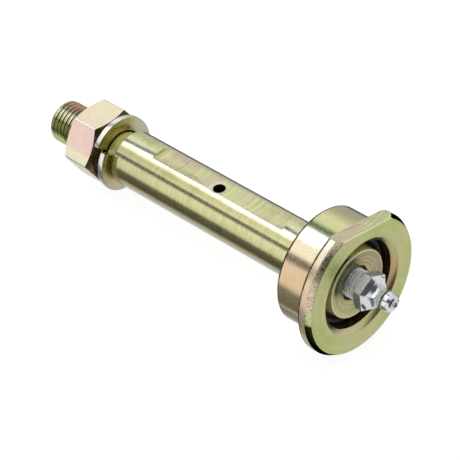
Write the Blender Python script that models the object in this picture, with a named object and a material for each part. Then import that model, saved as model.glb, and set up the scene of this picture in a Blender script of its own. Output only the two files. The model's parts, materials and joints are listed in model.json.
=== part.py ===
# Greasable fixed pin: a turned pin with a flanged head and a threaded end, the hexagon nut and
# the split spring washer on its thread, and the grease nipple in its head with its ball and spring.
#
# Every piece is modelled about the pin's own axis, which runs along X with the pin's shoulder at
# zero and the head towards +X. The rest frame then lays the whole pin down as it lies on a table,
# on the rim of its flange and on one flat of the nut.
#
# A turn is an angle about the pin's axis, counted from straight up by the right-hand rule.

import math

import bmesh
import bpy
from mathutils import Matrix, Vector

MM = 0.001

# Shank, collar and flange of the pin
SHANK_RADIUS = 9.0 * MM
SHANK_LENGTH = 80.0 * MM
SHANK_CHAMFER = 0.8 * MM
COLLAR_RADIUS = 18.7 * MM
COLLAR_LENGTH = 12.2 * MM
COLLAR_CHAMFER = 0.65 * MM
FLANGE_RADIUS = 22.95 * MM
FLANGE_LAND = 2.9 * MM
FLANGE_REAR_CHAMFER = 0.65 * MM
FLANGE_BEVEL_LENGTH = 1.8 * MM
FLANGE_BEVEL_DEPTH = 1.05 * MM

# Anti-rotation flat on the flange
LOCK_FLAT_DEPTH = 3.4 * MM
LOCK_FLAT_TURN = math.radians(-12)

# Groove and boss in the face of the head
BOSS_RADIUS = 11.2 * MM
BOSS_RECESS = 1.75 * MM
BOSS_ROUND = 0.5 * MM
DISH_RADIUS = 5.9 * MM
DISH_DEPTH = 0.6 * MM
GROOVE_WIDTH = 3.1 * MM
GROOVE_DEPTH = 5.5 * MM
GROOVE_MOUTH_CHAMFER = 1.5 * MM

# Threaded end, at the outside of its M14 x 1.5 thread and of its plain neck
THREAD_RADIUS = 6.95 * MM
THREADED_END = 30.6 * MM
THREAD_CHAMFER = 0.85 * MM

# Grease flat and its oil hole, which was drilled a little off the middle of the flat
OIL_FLAT_START = 13.9 * MM
OIL_FLAT_LENGTH = 54.0 * MM
OIL_FLAT_DEPTH = 0.65 * MM
OIL_FLAT_TURN = math.radians(-3.0)
OIL_HOLE_PLACE = 40.0 * MM
OIL_HOLE_RADIUS = 2.0 * MM
OIL_HOLE_CHAMFER = 0.65 * MM
OIL_HOLE_TURN = math.radians(3.0)
GALLERY_RADIUS = 2.25 * MM

# Hexagon nut, 22 mm across its flats
THREAD_CLEARANCE = 0.1 * MM
NUT_WALL = 3.95 * MM
NUT_HEIGHT = 11.5 * MM
NUT_CHAMFER_ANGLE = math.radians(30)
NUT_CHAMFER_RATIO = 0.95
NUT_MOUTH_CHAMFER = 0.7 * MM

# Split spring washer, in its free form; it hangs on the thread and leans against the nut
WASHER_THICKNESS = 2.5 * MM
WASHER_RISE = 3.4 * MM
WASHER_WIDTH = 4.5 * MM
WASHER_BORE_CLEARANCE = 0.5 * MM
WASHER_EDGE = 0.55 * MM
WASHER_DROP = 0.2 * MM
WASHER_LEAN = math.radians(3.5)
WASHER_LEAN_TURN = math.radians(-76)
WASHER_SHOULDER_GAP = 0.33 * MM
WASHER_NUT_GAP = 0.15 * MM
WASHER_SPLIT_TURN = math.radians(52.5)
WASHER_SPLIT_ANGLE = math.radians(3.5)

# Grease nipple, at the outside of its M10 x 1 thread
NIPPLE_THREAD_RADIUS = 4.7 * MM
NIPPLE_THREAD_CLEARANCE = 0.2 * MM
NIPPLE_THREAD_LENGTH = 8.8 * MM
NIPPLE_STAND_OFF = 1.25 * MM
NIPPLE_HEX_FLATS = 11.0 * MM
NIPPLE_HEX_LENGTH = 2.95 * MM
NIPPLE_HEX_TURN = math.radians(32)
NIPPLE_TAPER_LENGTH = 3.3 * MM
NIPPLE_HOLLOW_RADIUS = 4.0 * MM
NIPPLE_NECK_RADIUS = 2.8 * MM
NIPPLE_NECK_LENGTH = 0.85 * MM
NIPPLE_HEAD_RADIUS = 3.2 * MM
NIPPLE_TIP_RADIUS = 2.3 * MM
NIPPLE_NOSE_RADIUS = 1.5 * MM
NIPPLE_NOSE_LENGTH = 0.6 * MM
NIPPLE_NOSE_CONE = 0.25 * MM
NIPPLE_BORE_RADIUS = 1.55 * MM
NIPPLE_INLET_RADIUS = 0.85 * MM
PORT_DEPTH = 10.5 * MM
PORT_COUNTERBORE_STEP = 0.6 * MM
PORT_COUNTERBORE_DEPTH = 2.4 * MM

# Check ball and its coil spring inside the nipple
BALL_RADIUS = 1.35 * MM
BALL_SEAT_GAP = 0.08 * MM
BALL_SEAT_LENGTH = 0.85 * MM
INLET_LIP = 0.3 * MM
SPRING_LENGTH = 9.0 * MM
SPRING_WIRE_RADIUS = 0.2 * MM
SPRING_COIL_RADIUS = 0.98 * MM
SPRING_TURNS = 7
SPRING_BALL_GAP = 0.08 * MM
SPRING_FLOOR_GAP = 0.05 * MM

# Facets round each kind of piece
PIN_STEPS = 72
NUT_STEPS = 72
NIPPLE_STEPS = 48
HOLE_STEPS = 32
WASHER_STEPS = 72
SPRING_STEPS_PER_TURN = 14
SPRING_WIRE_STEPS = 6
ARC_STEPS = 6
HEAD_ARC_STEPS = 8
TAPER_STEPS = 6
SMOOTH_ANGLE = math.radians(28)
MERGE_DISTANCE = 0.00001 * MM

# Sizes and places along the axis that follow from the sizes above
NUT_ACROSS_FLATS = 2 * (THREAD_RADIUS + THREAD_CLEARANCE + NUT_WALL)
COLLAR_REAR = SHANK_LENGTH
FLANGE_REAR = COLLAR_REAR + COLLAR_LENGTH
FACE = FLANGE_REAR + FLANGE_LAND + FLANGE_BEVEL_LENGTH
BOSS_RIM = FACE - BOSS_RECESS
DISH_FLOOR = BOSS_RIM - DISH_DEPTH
PORT_FLOOR = DISH_FLOOR - PORT_DEPTH
THREAD_END = -THREADED_END
HEX_REAR = FACE + NIPPLE_STAND_OFF
HEX_FRONT = HEX_REAR + NIPPLE_HEX_LENGTH
NECK_REAR = HEX_FRONT + NIPPLE_TAPER_LENGTH
NECK_FRONT = NECK_REAR + NIPPLE_NECK_LENGTH


# Tools for turned and swept pieces

def arc(centre_x, centre_r, radius, start, end, steps=ARC_STEPS):
    """Points of a profile's round stretch; angles run from +X towards larger radius."""
    points = []
    for step in range(steps + 1):
        angle = start + (end - start) * step / steps
        points.append((centre_x + radius * math.cos(angle), centre_r + radius * math.sin(angle)))
    return points


def finish_mesh(name, bm):
    """Turns a bmesh into a named object with its faces pointing out and round parts smooth."""
    bmesh.ops.remove_doubles(bm, verts=bm.verts, dist=MERGE_DISTANCE)
    bmesh.ops.recalc_face_normals(bm, faces=bm.faces)
    mesh = bpy.data.meshes.new(name)
    bm.to_mesh(mesh)
    bm.free()
    mesh.shade_smooth()
    mesh.set_sharp_from_angle(angle=SMOOTH_ANGLE)
    thing = bpy.data.objects.new(name, mesh)
    bpy.context.scene.collection.objects.link(thing)
    return thing


def turned(name, profile, steps):
    """Spins a profile of (x, radius) points about X, with the middle of a facet straight up."""
    bm = bmesh.new()
    half_step = math.pi / steps
    start = Matrix.Rotation(half_step, 4, 'X')
    verts = [bm.verts.new(start @ Vector((x, 0.0, radius))) for x, radius in profile]
    edges = [bm.edges.new(pair) for pair in zip(verts, verts[1:])]
    bmesh.ops.spin(bm, geom=verts + edges, cent=(0, 0, 0), axis=(1, 0, 0),
                   angle=math.tau, steps=steps, use_merge=True)
    return finish_mesh(name, bm)


def ring_loft(name, rings):
    """Joins rings of equally many points into one closed skin with flat ends."""
    bm = bmesh.new()
    loops = [[bm.verts.new(point) for point in ring] for ring in rings]
    count = len(loops[0])
    for rear, front in zip(loops, loops[1:]):
        for index in range(count):
            following = (index + 1) % count
            bm.faces.new((rear[index], rear[following], front[following], front[index]))
    bm.faces.new(loops[0])
    bm.faces.new(loops[-1])
    return finish_mesh(name, bm)


def radial(turn, radius, x=0.0):
    """The point at this radius and turn about the pin's axis."""
    return Vector((x, -radius * math.sin(turn), radius * math.cos(turn)))


def box(name, low, high):
    """A cutter that fills the box between two corners."""
    bm = bmesh.new()
    bmesh.ops.create_cube(bm, size=1.0)
    low = Vector(low)
    high = Vector(high)
    for vert in bm.verts:
        vert.co = low + Vector((c + 0.5) * s for c, s in zip(vert.co, high - low))
    return finish_mesh(name, bm)


def combine(body, cutter, operation='DIFFERENCE'):
    """Cuts the body with the cutter, or keeps what both share; the cutter is only a guide."""
    modifier = body.modifiers.new(cutter.name, 'BOOLEAN')
    modifier.operation = operation
    modifier.object = cutter
    cutter.parent = body
    cutter.hide_render = True
    cutter.display_type = 'WIRE'


def paint(thing, name, colour, roughness, metallic=1.0):
    """Gives the piece its own surface."""
    material = bpy.data.materials.new(name)
    material.use_nodes = True
    shader = material.node_tree.nodes['Principled BSDF']
    shader.inputs['Base Color'].default_value = (*colour, 1.0)
    shader.inputs['Roughness'].default_value = roughness
    shader.inputs['Metallic'].default_value = metallic
    thing.data.materials.append(material)


# The pin

def threaded_end_profile():
    """From the middle of the thread's end face to the shoulder."""
    return [
        (THREAD_END, 0.0),
        (THREAD_END, THREAD_RADIUS - THREAD_CHAMFER),
        (THREAD_END + THREAD_CHAMFER, THREAD_RADIUS),
        (0.0, THREAD_RADIUS),
    ]


def shank_and_head_profile():
    """From the shoulder over the shank, collar and flange to the mouth of the groove."""
    return [
        (0.0, SHANK_RADIUS - SHANK_CHAMFER),
        (SHANK_CHAMFER, SHANK_RADIUS),
        (COLLAR_REAR, SHANK_RADIUS),
        (COLLAR_REAR, COLLAR_RADIUS - COLLAR_CHAMFER),
        (COLLAR_REAR + COLLAR_CHAMFER, COLLAR_RADIUS),
        (FLANGE_REAR, COLLAR_RADIUS),
        (FLANGE_REAR, FLANGE_RADIUS - FLANGE_REAR_CHAMFER),
        (FLANGE_REAR + FLANGE_REAR_CHAMFER, FLANGE_RADIUS),
        (FLANGE_REAR + FLANGE_LAND, FLANGE_RADIUS),
        (FACE, FLANGE_RADIUS - FLANGE_BEVEL_DEPTH),
    ]


def groove_profile():
    """The chamfered groove with its round floor, up to the rounded rim of the boss."""
    outer = BOSS_RADIUS + GROOVE_WIDTH
    floor_round = GROOVE_WIDTH / 2
    floor_centre = FACE - GROOVE_DEPTH + floor_round
    rim_centre = BOSS_RIM - BOSS_ROUND
    return (
        [(FACE, outer + GROOVE_MOUTH_CHAMFER), (FACE - GROOVE_MOUTH_CHAMFER, outer)]
        + arc(floor_centre, BOSS_RADIUS + floor_round, floor_round, math.pi / 2, math.pi * 1.5)
        + arc(rim_centre, BOSS_RADIUS - BOSS_ROUND, BOSS_ROUND, math.pi / 2, 0.0, ARC_STEPS // 2)
    )


def port_profile():
    """The dish in the boss, the nipple's port and the grease gallery, back to the axis."""
    port = NIPPLE_THREAD_RADIUS + NIPPLE_THREAD_CLEARANCE
    counterbore = port + PORT_COUNTERBORE_STEP
    counterbore_floor = DISH_FLOOR - PORT_COUNTERBORE_DEPTH
    drill_point = math.radians(59)
    gallery_end = OIL_HOLE_PLACE - GALLERY_RADIUS
    return [
        (DISH_FLOOR, DISH_RADIUS),
        (DISH_FLOOR - (DISH_RADIUS - counterbore), counterbore),
        (counterbore_floor, counterbore),
        (counterbore_floor - PORT_COUNTERBORE_STEP, port),
        (PORT_FLOOR, port),
        (PORT_FLOOR - (port - GALLERY_RADIUS) / math.tan(drill_point), GALLERY_RADIUS),
        (gallery_end, GALLERY_RADIUS),
        (gallery_end - GALLERY_RADIUS / math.tan(drill_point), 0.0),
    ]


def make_pin():
    profile = threaded_end_profile() + shank_and_head_profile() + groove_profile() + port_profile()
    pin = turned('pin', profile, PIN_STEPS)

    flat_height = SHANK_RADIUS - OIL_FLAT_DEPTH
    oil_flat = box('oil_flat_cutter', (OIL_FLAT_START, -SHANK_RADIUS, flat_height),
                   (OIL_FLAT_START + OIL_FLAT_LENGTH, SHANK_RADIUS, 2 * SHANK_RADIUS))
    oil_flat.rotation_euler.x = OIL_FLAT_TURN
    combine(pin, oil_flat)

    overshoot = SHANK_RADIUS
    mouth = OIL_HOLE_RADIUS + OIL_HOLE_CHAMFER
    oil_hole = turned('oil_hole_cutter', [
        (0.0, 0.0),
        (0.0, OIL_HOLE_RADIUS),
        (flat_height - OIL_HOLE_CHAMFER, OIL_HOLE_RADIUS),
        (flat_height, mouth),
        (flat_height + overshoot, mouth + overshoot),
        (flat_height + overshoot, 0.0),
    ], HOLE_STEPS)
    oil_hole.matrix_local = (Matrix.Translation((OIL_HOLE_PLACE, 0, 0))
                             @ Matrix.Rotation(OIL_HOLE_TURN, 4, 'X')
                             @ Matrix.Rotation(-math.pi / 2, 4, 'Y'))
    combine(pin, oil_hole)

    reach = 2 * FLANGE_RADIUS
    lock_flat = box('lock_flat_cutter',
                    (FLANGE_REAR - COLLAR_CHAMFER, -reach, FLANGE_RADIUS - LOCK_FLAT_DEPTH),
                    (FACE + FLANGE_LAND, reach, reach))
    lock_flat.rotation_euler.x = LOCK_FLAT_TURN
    combine(pin, lock_flat)

    paint(pin, 'yellow_zinc', (0.56, 0.56, 0.30), 0.32)
    return pin


# The split spring washer

def washer_section(inner, outer, edge):
    """The washer's section as (x, radius) points, with its edges broken."""
    thick = WASHER_THICKNESS
    return [
        (0.0, inner + edge), (edge, inner), (thick - edge, inner), (thick, inner + edge),
        (thick, outer - edge), (thick - edge, outer), (edge, outer), (0.0, outer - edge),
    ]


def washer_rings():
    """A single left-hand turn, so that its ends bite as the nut is loosened."""
    inner = THREAD_RADIUS + WASHER_BORE_CLEARANCE
    section = washer_section(inner, inner + WASHER_WIDTH, WASHER_EDGE)
    start = WASHER_SPLIT_TURN - WASHER_SPLIT_ANGLE / 2
    sweep = math.tau - WASHER_SPLIT_ANGLE
    rings = []
    for step in range(WASHER_STEPS + 1):
        share = step / WASHER_STEPS
        turn = start - sweep * share
        lean = math.tan(WASHER_LEAN) * math.cos(turn - WASHER_LEAN_TURN)
        rise = WASHER_RISE * share
        rings.append([radial(turn, radius, x + rise - lean * radius) for x, radius in section])
    return rings


def nut_inner_face():
    """Where the nut's face stands behind the washer, whose front end is just short of the shoulder."""
    places = [point.x for ring in washer_rings() for point in ring]
    return min(places) - max(places) - WASHER_SHOULDER_GAP - WASHER_NUT_GAP


def make_washer():
    rings = washer_rings()
    washer = ring_loft('lock_washer', rings)
    front = max(point.x for ring in rings for point in ring)
    washer.location = (-WASHER_SHOULDER_GAP - front, 0.0, -WASHER_DROP)
    paint(washer, 'washer_zinc', (0.72, 0.72, 0.66), 0.28)
    return washer


# The hexagon nut

def make_nut():
    flat = NUT_ACROSS_FLATS / 2
    corner = flat / math.cos(math.pi / 6)
    margin = NUT_MOUTH_CHAMFER
    corners = [math.pi / 6 + index * math.pi / 3 for index in range(6)]
    rings = [[radial(turn, corner, x) for turn in corners] for x in (-NUT_HEIGHT - margin, margin)]
    nut = ring_loft('hex_nut', rings)

    end_radius = flat * NUT_CHAMFER_RATIO
    clear_radius = corner + margin
    slope = (clear_radius - end_radius) * math.tan(NUT_CHAMFER_ANGLE)
    chamfer = turned('nut_chamfer_guide', [
        (-NUT_HEIGHT, 0.0),
        (-NUT_HEIGHT, end_radius),
        (-NUT_HEIGHT + slope, clear_radius),
        (-slope, clear_radius),
        (0.0, end_radius),
        (0.0, 0.0),
    ], NUT_STEPS)
    combine(nut, chamfer, 'INTERSECT')

    bore = THREAD_RADIUS + THREAD_CLEARANCE
    mouth = bore + NUT_MOUTH_CHAMFER
    thread_hole = turned('nut_bore_cutter', [
        (-NUT_HEIGHT - margin, 0.0),
        (-NUT_HEIGHT - margin, mouth + margin),
        (-NUT_HEIGHT + NUT_MOUTH_CHAMFER, bore),
        (-NUT_MOUTH_CHAMFER, bore),
        (margin, mouth + margin),
        (margin, 0.0),
    ], NUT_STEPS)
    combine(nut, thread_hole)

    nut.location.x = nut_inner_face()
    paint(nut, 'nut_zinc', (0.70, 0.62, 0.46), 0.34)
    return nut


# The grease nipple

def hexagon_ring(x, corner_radius, steps, middle_radius=None):
    """A ring that follows a hexagon, whose sides may be bowed to a radius at their middles."""
    per_side = steps // 6
    straight = corner_radius * math.cos(math.pi / 6)
    sink = straight - middle_radius if middle_radius else 0.0
    points = []
    for side in range(6):
        first = radial(NIPPLE_HEX_TURN + (side - 0.5) * math.pi / 3, corner_radius, x)
        last = radial(NIPPLE_HEX_TURN + (side + 0.5) * math.pi / 3, corner_radius, x)
        inward = radial(NIPPLE_HEX_TURN + side * math.pi / 3, -1.0)
        for index in range(per_side):
            share = index / per_side
            bow = 1 - (2 * share - 1) ** 2
            points.append(first.lerp(last, share) + inward * sink * bow)
    return points


def round_ring(x, radius, steps):
    """A round ring whose points stand beside those of hexagon_ring."""
    start = NIPPLE_HEX_TURN - math.pi / 6
    return [radial(start + math.tau * index / steps, radius, x) for index in range(steps)]


def hollow_radius(x):
    """How far from the axis the middle of a hollow face lies, which is ground along an arc."""
    rear = Vector((HEX_FRONT, NIPPLE_HEX_FLATS / 2))
    front = Vector((NECK_REAR, NIPPLE_NECK_RADIUS))
    chord = front - rear
    outward = Vector((-chord.y, chord.x)).normalized()
    rise = math.sqrt(NIPPLE_HOLLOW_RADIUS ** 2 - (chord.length / 2) ** 2)
    centre = (rear + front) / 2 + outward * rise
    return centre.y - math.sqrt(NIPPLE_HOLLOW_RADIUS ** 2 - (x - centre.x) ** 2)


def taper_rings():
    """The six hollow faces between straight ridges, from the hexagon to the round neck."""
    corner = NIPPLE_HEX_FLATS / 2 / math.cos(math.pi / 6)
    rings = []
    for step in range(TAPER_STEPS + 1):
        share = step / TAPER_STEPS
        x = HEX_FRONT + NIPPLE_TAPER_LENGTH * share
        ridge = corner + (NIPPLE_NECK_RADIUS - corner) * share
        rings.append(hexagon_ring(x, ridge, NIPPLE_STEPS, hollow_radius(x)))
    return rings


def head_profile():
    """The ball-shaped head as (x, radius) points, from the neck to the flat end of its nose."""
    centre = NECK_FRONT + math.sqrt(NIPPLE_HEAD_RADIUS ** 2 - NIPPLE_NECK_RADIUS ** 2)
    start = math.pi - math.asin(NIPPLE_NECK_RADIUS / NIPPLE_HEAD_RADIUS)
    end = math.asin(NIPPLE_TIP_RADIUS / NIPPLE_HEAD_RADIUS)
    head = arc(centre, 0.0, NIPPLE_HEAD_RADIUS, start, end, HEAD_ARC_STEPS)
    nose = head[-1][0]
    return head + [
        (nose + NIPPLE_NOSE_CONE, NIPPLE_NOSE_RADIUS),
        (nose + NIPPLE_NOSE_LENGTH, NIPPLE_NOSE_RADIUS),
    ]


def tip_place():
    """Where the flat end of the head's nose stands along the axis."""
    return head_profile()[-1][0]


def ball_place():
    """The ball's middle, with its skin just short of the seat's cone."""
    rise = NIPPLE_BORE_RADIUS - NIPPLE_INLET_RADIUS
    slant = math.hypot(rise, BALL_SEAT_LENGTH)
    seat_start = tip_place() - INLET_LIP - BALL_SEAT_LENGTH
    needed = BALL_RADIUS + BALL_SEAT_GAP - NIPPLE_BORE_RADIUS * BALL_SEAT_LENGTH / slant
    return seat_start - needed * slant / rise


def spring_front():
    """Where the spring's first coil lies round the back of the ball."""
    reach = BALL_RADIUS + SPRING_BALL_GAP + SPRING_WIRE_RADIUS
    wire_middle = ball_place() - math.sqrt(reach ** 2 - SPRING_COIL_RADIUS ** 2)
    return wire_middle + SPRING_WIRE_RADIUS


def make_nipple():
    corner = NIPPLE_HEX_FLATS / 2 / math.cos(math.pi / 6)
    thread_start = HEX_REAR - NIPPLE_THREAD_LENGTH
    edge = NIPPLE_THREAD_CLEARANCE
    rings = [
        round_ring(thread_start, NIPPLE_THREAD_RADIUS - edge, NIPPLE_STEPS),
        round_ring(thread_start + edge, NIPPLE_THREAD_RADIUS, NIPPLE_STEPS),
        round_ring(HEX_REAR, NIPPLE_THREAD_RADIUS, NIPPLE_STEPS),
        hexagon_ring(HEX_REAR, corner, NIPPLE_STEPS),
    ]
    rings += taper_rings()
    rings += [round_ring(x, radius, NIPPLE_STEPS) for x, radius in head_profile()]
    nipple = ring_loft('grease_nipple', rings)

    tip = tip_place()
    seat = tip - INLET_LIP
    spring_floor = spring_front() - SPRING_LENGTH - SPRING_FLOOR_GAP
    channel = turned('nipple_channel_cutter', [
        (thread_start - BALL_RADIUS, 0.0),
        (thread_start - BALL_RADIUS, NIPPLE_INLET_RADIUS),
        (spring_floor, NIPPLE_INLET_RADIUS),
        (spring_floor, NIPPLE_BORE_RADIUS),
        (seat - BALL_SEAT_LENGTH, NIPPLE_BORE_RADIUS),
        (seat, NIPPLE_INLET_RADIUS),
        (tip + BALL_RADIUS, NIPPLE_INLET_RADIUS),
        (tip + BALL_RADIUS, 0.0),
    ], HOLE_STEPS)
    combine(nipple, channel)
    paint(nipple, 'bright_zinc', (0.74, 0.77, 0.80), 0.22)
    return nipple


def make_ball():
    profile = arc(0.0, 0.0, BALL_RADIUS, math.pi, 0.0, 2 * ARC_STEPS)
    profile[0] = (-BALL_RADIUS, 0.0)
    profile[-1] = (BALL_RADIUS, 0.0)
    ball = turned('check_ball', profile, HOLE_STEPS)
    ball.location.x = ball_place()
    paint(ball, 'ball_steel', (0.62, 0.62, 0.60), 0.15)
    return ball


def make_spring():
    """A right-hand coil behind the ball; its local origin is the end that the ball pushes."""
    length = SPRING_LENGTH - 2 * SPRING_WIRE_RADIUS
    count = SPRING_TURNS * SPRING_STEPS_PER_TURN
    pitch_slope = length / (SPRING_TURNS * math.tau)
    rings = []
    for step in range(count + 1):
        turn = math.tau * SPRING_TURNS * step / count
        centre = radial(turn, SPRING_COIL_RADIUS, -SPRING_WIRE_RADIUS - length * step / count)
        outward = radial(turn, 1.0)
        along = Vector((-pitch_slope, *radial(turn + math.pi / 2, SPRING_COIL_RADIUS).yz))
        sideways = outward.cross(along).normalized()
        ring = []
        for index in range(SPRING_WIRE_STEPS):
            angle = math.tau * index / SPRING_WIRE_STEPS
            offset = outward * math.cos(angle) + sideways * math.sin(angle)
            ring.append(centre + offset * SPRING_WIRE_RADIUS)
        rings.append(ring)
    spring = ring_loft('nipple_spring', rings)
    spring.location.x = spring_front()
    paint(spring, 'spring_steel', (0.50, 0.50, 0.49), 0.3)
    return spring


# The rest frame

def lay_down(pieces):
    """Tips the pin about Y until its flange and its nut both touch the table, then centres it."""
    frame = bpy.data.objects.new('rest_frame', None)
    bpy.context.scene.collection.objects.link(frame)
    for piece in pieces:
        piece.parent = frame

    flat = NUT_ACROSS_FLATS / 2
    nut_chamfer = flat * (1 - NUT_CHAMFER_RATIO) * math.tan(NUT_CHAMFER_ANGLE)
    nut_foot = nut_inner_face() - NUT_HEIGHT + nut_chamfer
    flange_foot = FLANGE_REAR + FLANGE_REAR_CHAMFER
    flange_low = FLANGE_RADIUS * math.cos(math.pi / PIN_STEPS)
    pitch = math.atan2(flange_low - flat, flange_foot - nut_foot)
    frame.rotation_euler.y = -pitch

    bpy.context.view_layer.update()
    graph = bpy.context.evaluated_depsgraph_get()
    corners = []
    for piece in pieces:
        evaluated = piece.evaluated_get(graph)
        mesh = evaluated.to_mesh()
        corners += [evaluated.matrix_world @ vert.co for vert in mesh.vertices]
        evaluated.to_mesh_clear()
    low = Vector(min(corner[axis] for corner in corners) for axis in range(3))
    high = Vector(max(corner[axis] for corner in corners) for axis in range(3))
    middle = (low + high) / 2
    frame.location = (-middle.x, -middle.y, -low.z)


def main():
    for old in list(bpy.data.objects):
        bpy.data.objects.remove(old, do_unlink=True)
    pieces = [make_pin(), make_nut(), make_washer(), make_nipple(), make_ball(), make_spring()]
    lay_down(pieces)


main()
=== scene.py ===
"""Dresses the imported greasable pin: real threads, fine edges, plated finishes, studio and camera.

Every piece is modelled about the pin's own axis, along X with the shoulder at zero and the head
towards +X, in millimetres turned to metres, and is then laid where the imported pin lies.
"""

import json
import logging
import math
from dataclasses import dataclass
from enum import Enum
from typing import Callable, Iterable, Sequence

import bpy
from mathutils import Euler, Matrix, Vector


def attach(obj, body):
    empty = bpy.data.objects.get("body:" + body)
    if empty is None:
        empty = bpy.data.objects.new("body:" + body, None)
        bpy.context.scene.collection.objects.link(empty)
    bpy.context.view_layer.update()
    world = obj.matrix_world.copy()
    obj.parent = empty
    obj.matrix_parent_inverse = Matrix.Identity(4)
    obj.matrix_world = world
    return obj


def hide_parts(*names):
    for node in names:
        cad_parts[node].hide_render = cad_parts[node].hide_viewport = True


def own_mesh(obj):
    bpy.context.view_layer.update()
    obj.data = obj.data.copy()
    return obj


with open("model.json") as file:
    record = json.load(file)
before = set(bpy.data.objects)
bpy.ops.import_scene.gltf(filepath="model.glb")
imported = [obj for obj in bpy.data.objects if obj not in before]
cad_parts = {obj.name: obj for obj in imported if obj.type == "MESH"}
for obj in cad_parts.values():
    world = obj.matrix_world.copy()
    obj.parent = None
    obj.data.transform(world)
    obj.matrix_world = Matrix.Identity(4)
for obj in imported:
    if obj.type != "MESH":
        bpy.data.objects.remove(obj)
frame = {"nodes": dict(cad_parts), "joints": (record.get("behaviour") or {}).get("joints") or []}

MM = 0.001
LOG = logging.getLogger("fixed_pin")
Point = tuple[float, float]
Colour = tuple[float, float, float]

# The M14 thread that the pin and its nut share, in millimetres
THREAD_PITCH = 1.5
THREAD_CREST = 6.93


class Cut(Enum):
    """How one solid is combined with another."""

    AWAY = "DIFFERENCE"
    SHARED = "INTERSECT"
    JOINED = "UNION"


class Place:
    """Where the pin's own axis lies in the frame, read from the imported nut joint."""

    NUT_MIDDLE = -12.2968 * MM

    def __init__(self, joints: Sequence[dict]) -> None:
        """Finds the shoulder and the axis.

        Args:
            joints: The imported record's joints.
        """
        turn = next(joint for joint in joints if joint["name"] == "nut_turn")
        self.direction = Vector(turn["axis"]).normalized()
        self.shoulder = Vector(turn["pos_m"]) - self.direction * self.NUT_MIDDLE
        self.pitch = math.atan2(self.direction.z, self.direction.x)

    def turn(self) -> Euler:
        """Returns the turn from the pin's own axes to the frame's."""
        return Euler((0.0, -self.pitch, 0.0))

    def matrix(self) -> Matrix:
        """Returns the move from the pin's own axes to the frame's."""
        return Matrix.Translation(self.shoulder) @ self.turn().to_matrix().to_4x4()

    def point(self, x: float) -> Vector:
        """Returns the point of the axis that lies x metres from the shoulder."""
        return self.shoulder + self.direction * x


# Shaping by hand

def clear_selection() -> None:
    """Leaves edit mode and deselects every object."""
    if bpy.context.object and bpy.context.object.mode != "OBJECT":
        bpy.ops.object.mode_set(mode="OBJECT")
    bpy.ops.object.select_all(action="DESELECT")


def pick(piece: bpy.types.Object) -> None:
    """Selects one piece alone and makes it active."""
    clear_selection()
    piece.select_set(True)
    bpy.context.view_layer.objects.active = piece


def named(name: str) -> bpy.types.Object:
    """Names the active new piece and returns it."""
    piece = bpy.context.object
    piece.name = name
    piece.data.name = name
    return piece


def arc(centre: Point, radius: float, start: float, end: float, steps: int = 6) -> list[Point]:
    """Gives the points of a profile's round stretch.

    Args:
        centre: The arc's middle as (x, radius from the axis).
        radius: The arc's own radius.
        start: The first angle in degrees, counted from +X towards a larger radius.
        end: The last angle in degrees.
        steps: How many straight steps the arc has.

    Returns:
        The points as (x, radius) pairs.
    """
    points = []
    for step in range(steps + 1):
        angle = math.radians(start + (end - start) * step / steps)
        points.append((centre[0] + radius * math.cos(angle), centre[1] + radius * math.sin(angle)))
    return points


def turned(name: str, profile: Sequence[Point], steps: int) -> bpy.types.Object:
    """Turns a solid about X, ring by ring, from a filled circle.

    Args:
        name: The new piece's name.
        profile: The (x, radius) pairs in millimetres, all off the axis.
        steps: How many facets the piece has round the axis.

    Returns:
        The closed solid.
    """
    clear_selection()
    x, radius = profile[0]
    bpy.ops.mesh.primitive_circle_add(
        vertices=steps, radius=radius * MM, fill_type="NGON",
        location=(x * MM, 0, 0), rotation=(0, math.pi / 2, 0))
    piece = named(name)
    bpy.ops.object.transform_apply(location=True, rotation=True, scale=True)
    bpy.ops.object.mode_set(mode="EDIT")
    bpy.ops.mesh.select_all(action="SELECT")
    for next_x, next_radius in profile[1:]:
        bpy.ops.mesh.extrude_region_move(TRANSFORM_OT_translate={"value": ((next_x - x) * MM, 0, 0)})
        ratio = next_radius / radius
        bpy.ops.transform.resize(value=(1, ratio, ratio), center_override=(next_x * MM, 0, 0))
        x, radius = next_x, next_radius
    tidy_shell()
    return piece


def tidy_shell() -> None:
    """Merges doubles, turns the faces of the piece in edit mode outwards and leaves edit mode."""
    bpy.ops.mesh.select_all(action="SELECT")
    bpy.ops.mesh.remove_doubles(threshold=0.0005 * MM)
    bpy.ops.mesh.normals_make_consistent(inside=False)
    bpy.ops.object.mode_set(mode="OBJECT")


def close_ends() -> None:
    """Fills both open ends of the active swept piece."""
    bpy.ops.object.mode_set(mode="EDIT")
    bpy.ops.mesh.select_all(action="DESELECT")
    bpy.ops.mesh.select_mode(type="EDGE")
    bpy.ops.mesh.select_non_manifold(use_wire=False, use_boundary=True, use_multi_face=False,
                                     use_non_contiguous=False, use_verts=False)
    bpy.ops.mesh.edge_face_add()
    bpy.ops.mesh.select_mode(type="VERT")
    tidy_shell()


def combine(piece: bpy.types.Object, tool: bpy.types.Object, how: Cut) -> None:
    """Combines a piece with a tool, and removes the tool."""
    pick(piece)
    modifier = piece.modifiers.new(tool.name, "BOOLEAN")
    modifier.operation = how.value
    modifier.object = tool
    bpy.ops.object.modifier_apply(modifier=modifier.name)
    bpy.data.objects.remove(tool, do_unlink=True)


def block(name: str, low: Sequence[float], high: Sequence[float]) -> bpy.types.Object:
    """Adds a box between two corners in millimetres."""
    clear_selection()
    middle = [(a + b) / 2 * MM for a, b in zip(low, high)]
    bpy.ops.mesh.primitive_cube_add(size=1.0, location=middle)
    bpy.ops.transform.resize(value=[(b - a) * MM for a, b in zip(low, high)], center_override=middle)
    piece = named(name)
    bpy.ops.object.transform_apply(location=True, rotation=True, scale=True)
    return piece


def turn_piece(piece: bpy.types.Object, degrees: float) -> None:
    """Turns a piece about the pin's axis, in its mesh."""
    piece.data.transform(Matrix.Rotation(math.radians(degrees), 4, "X"))


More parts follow.
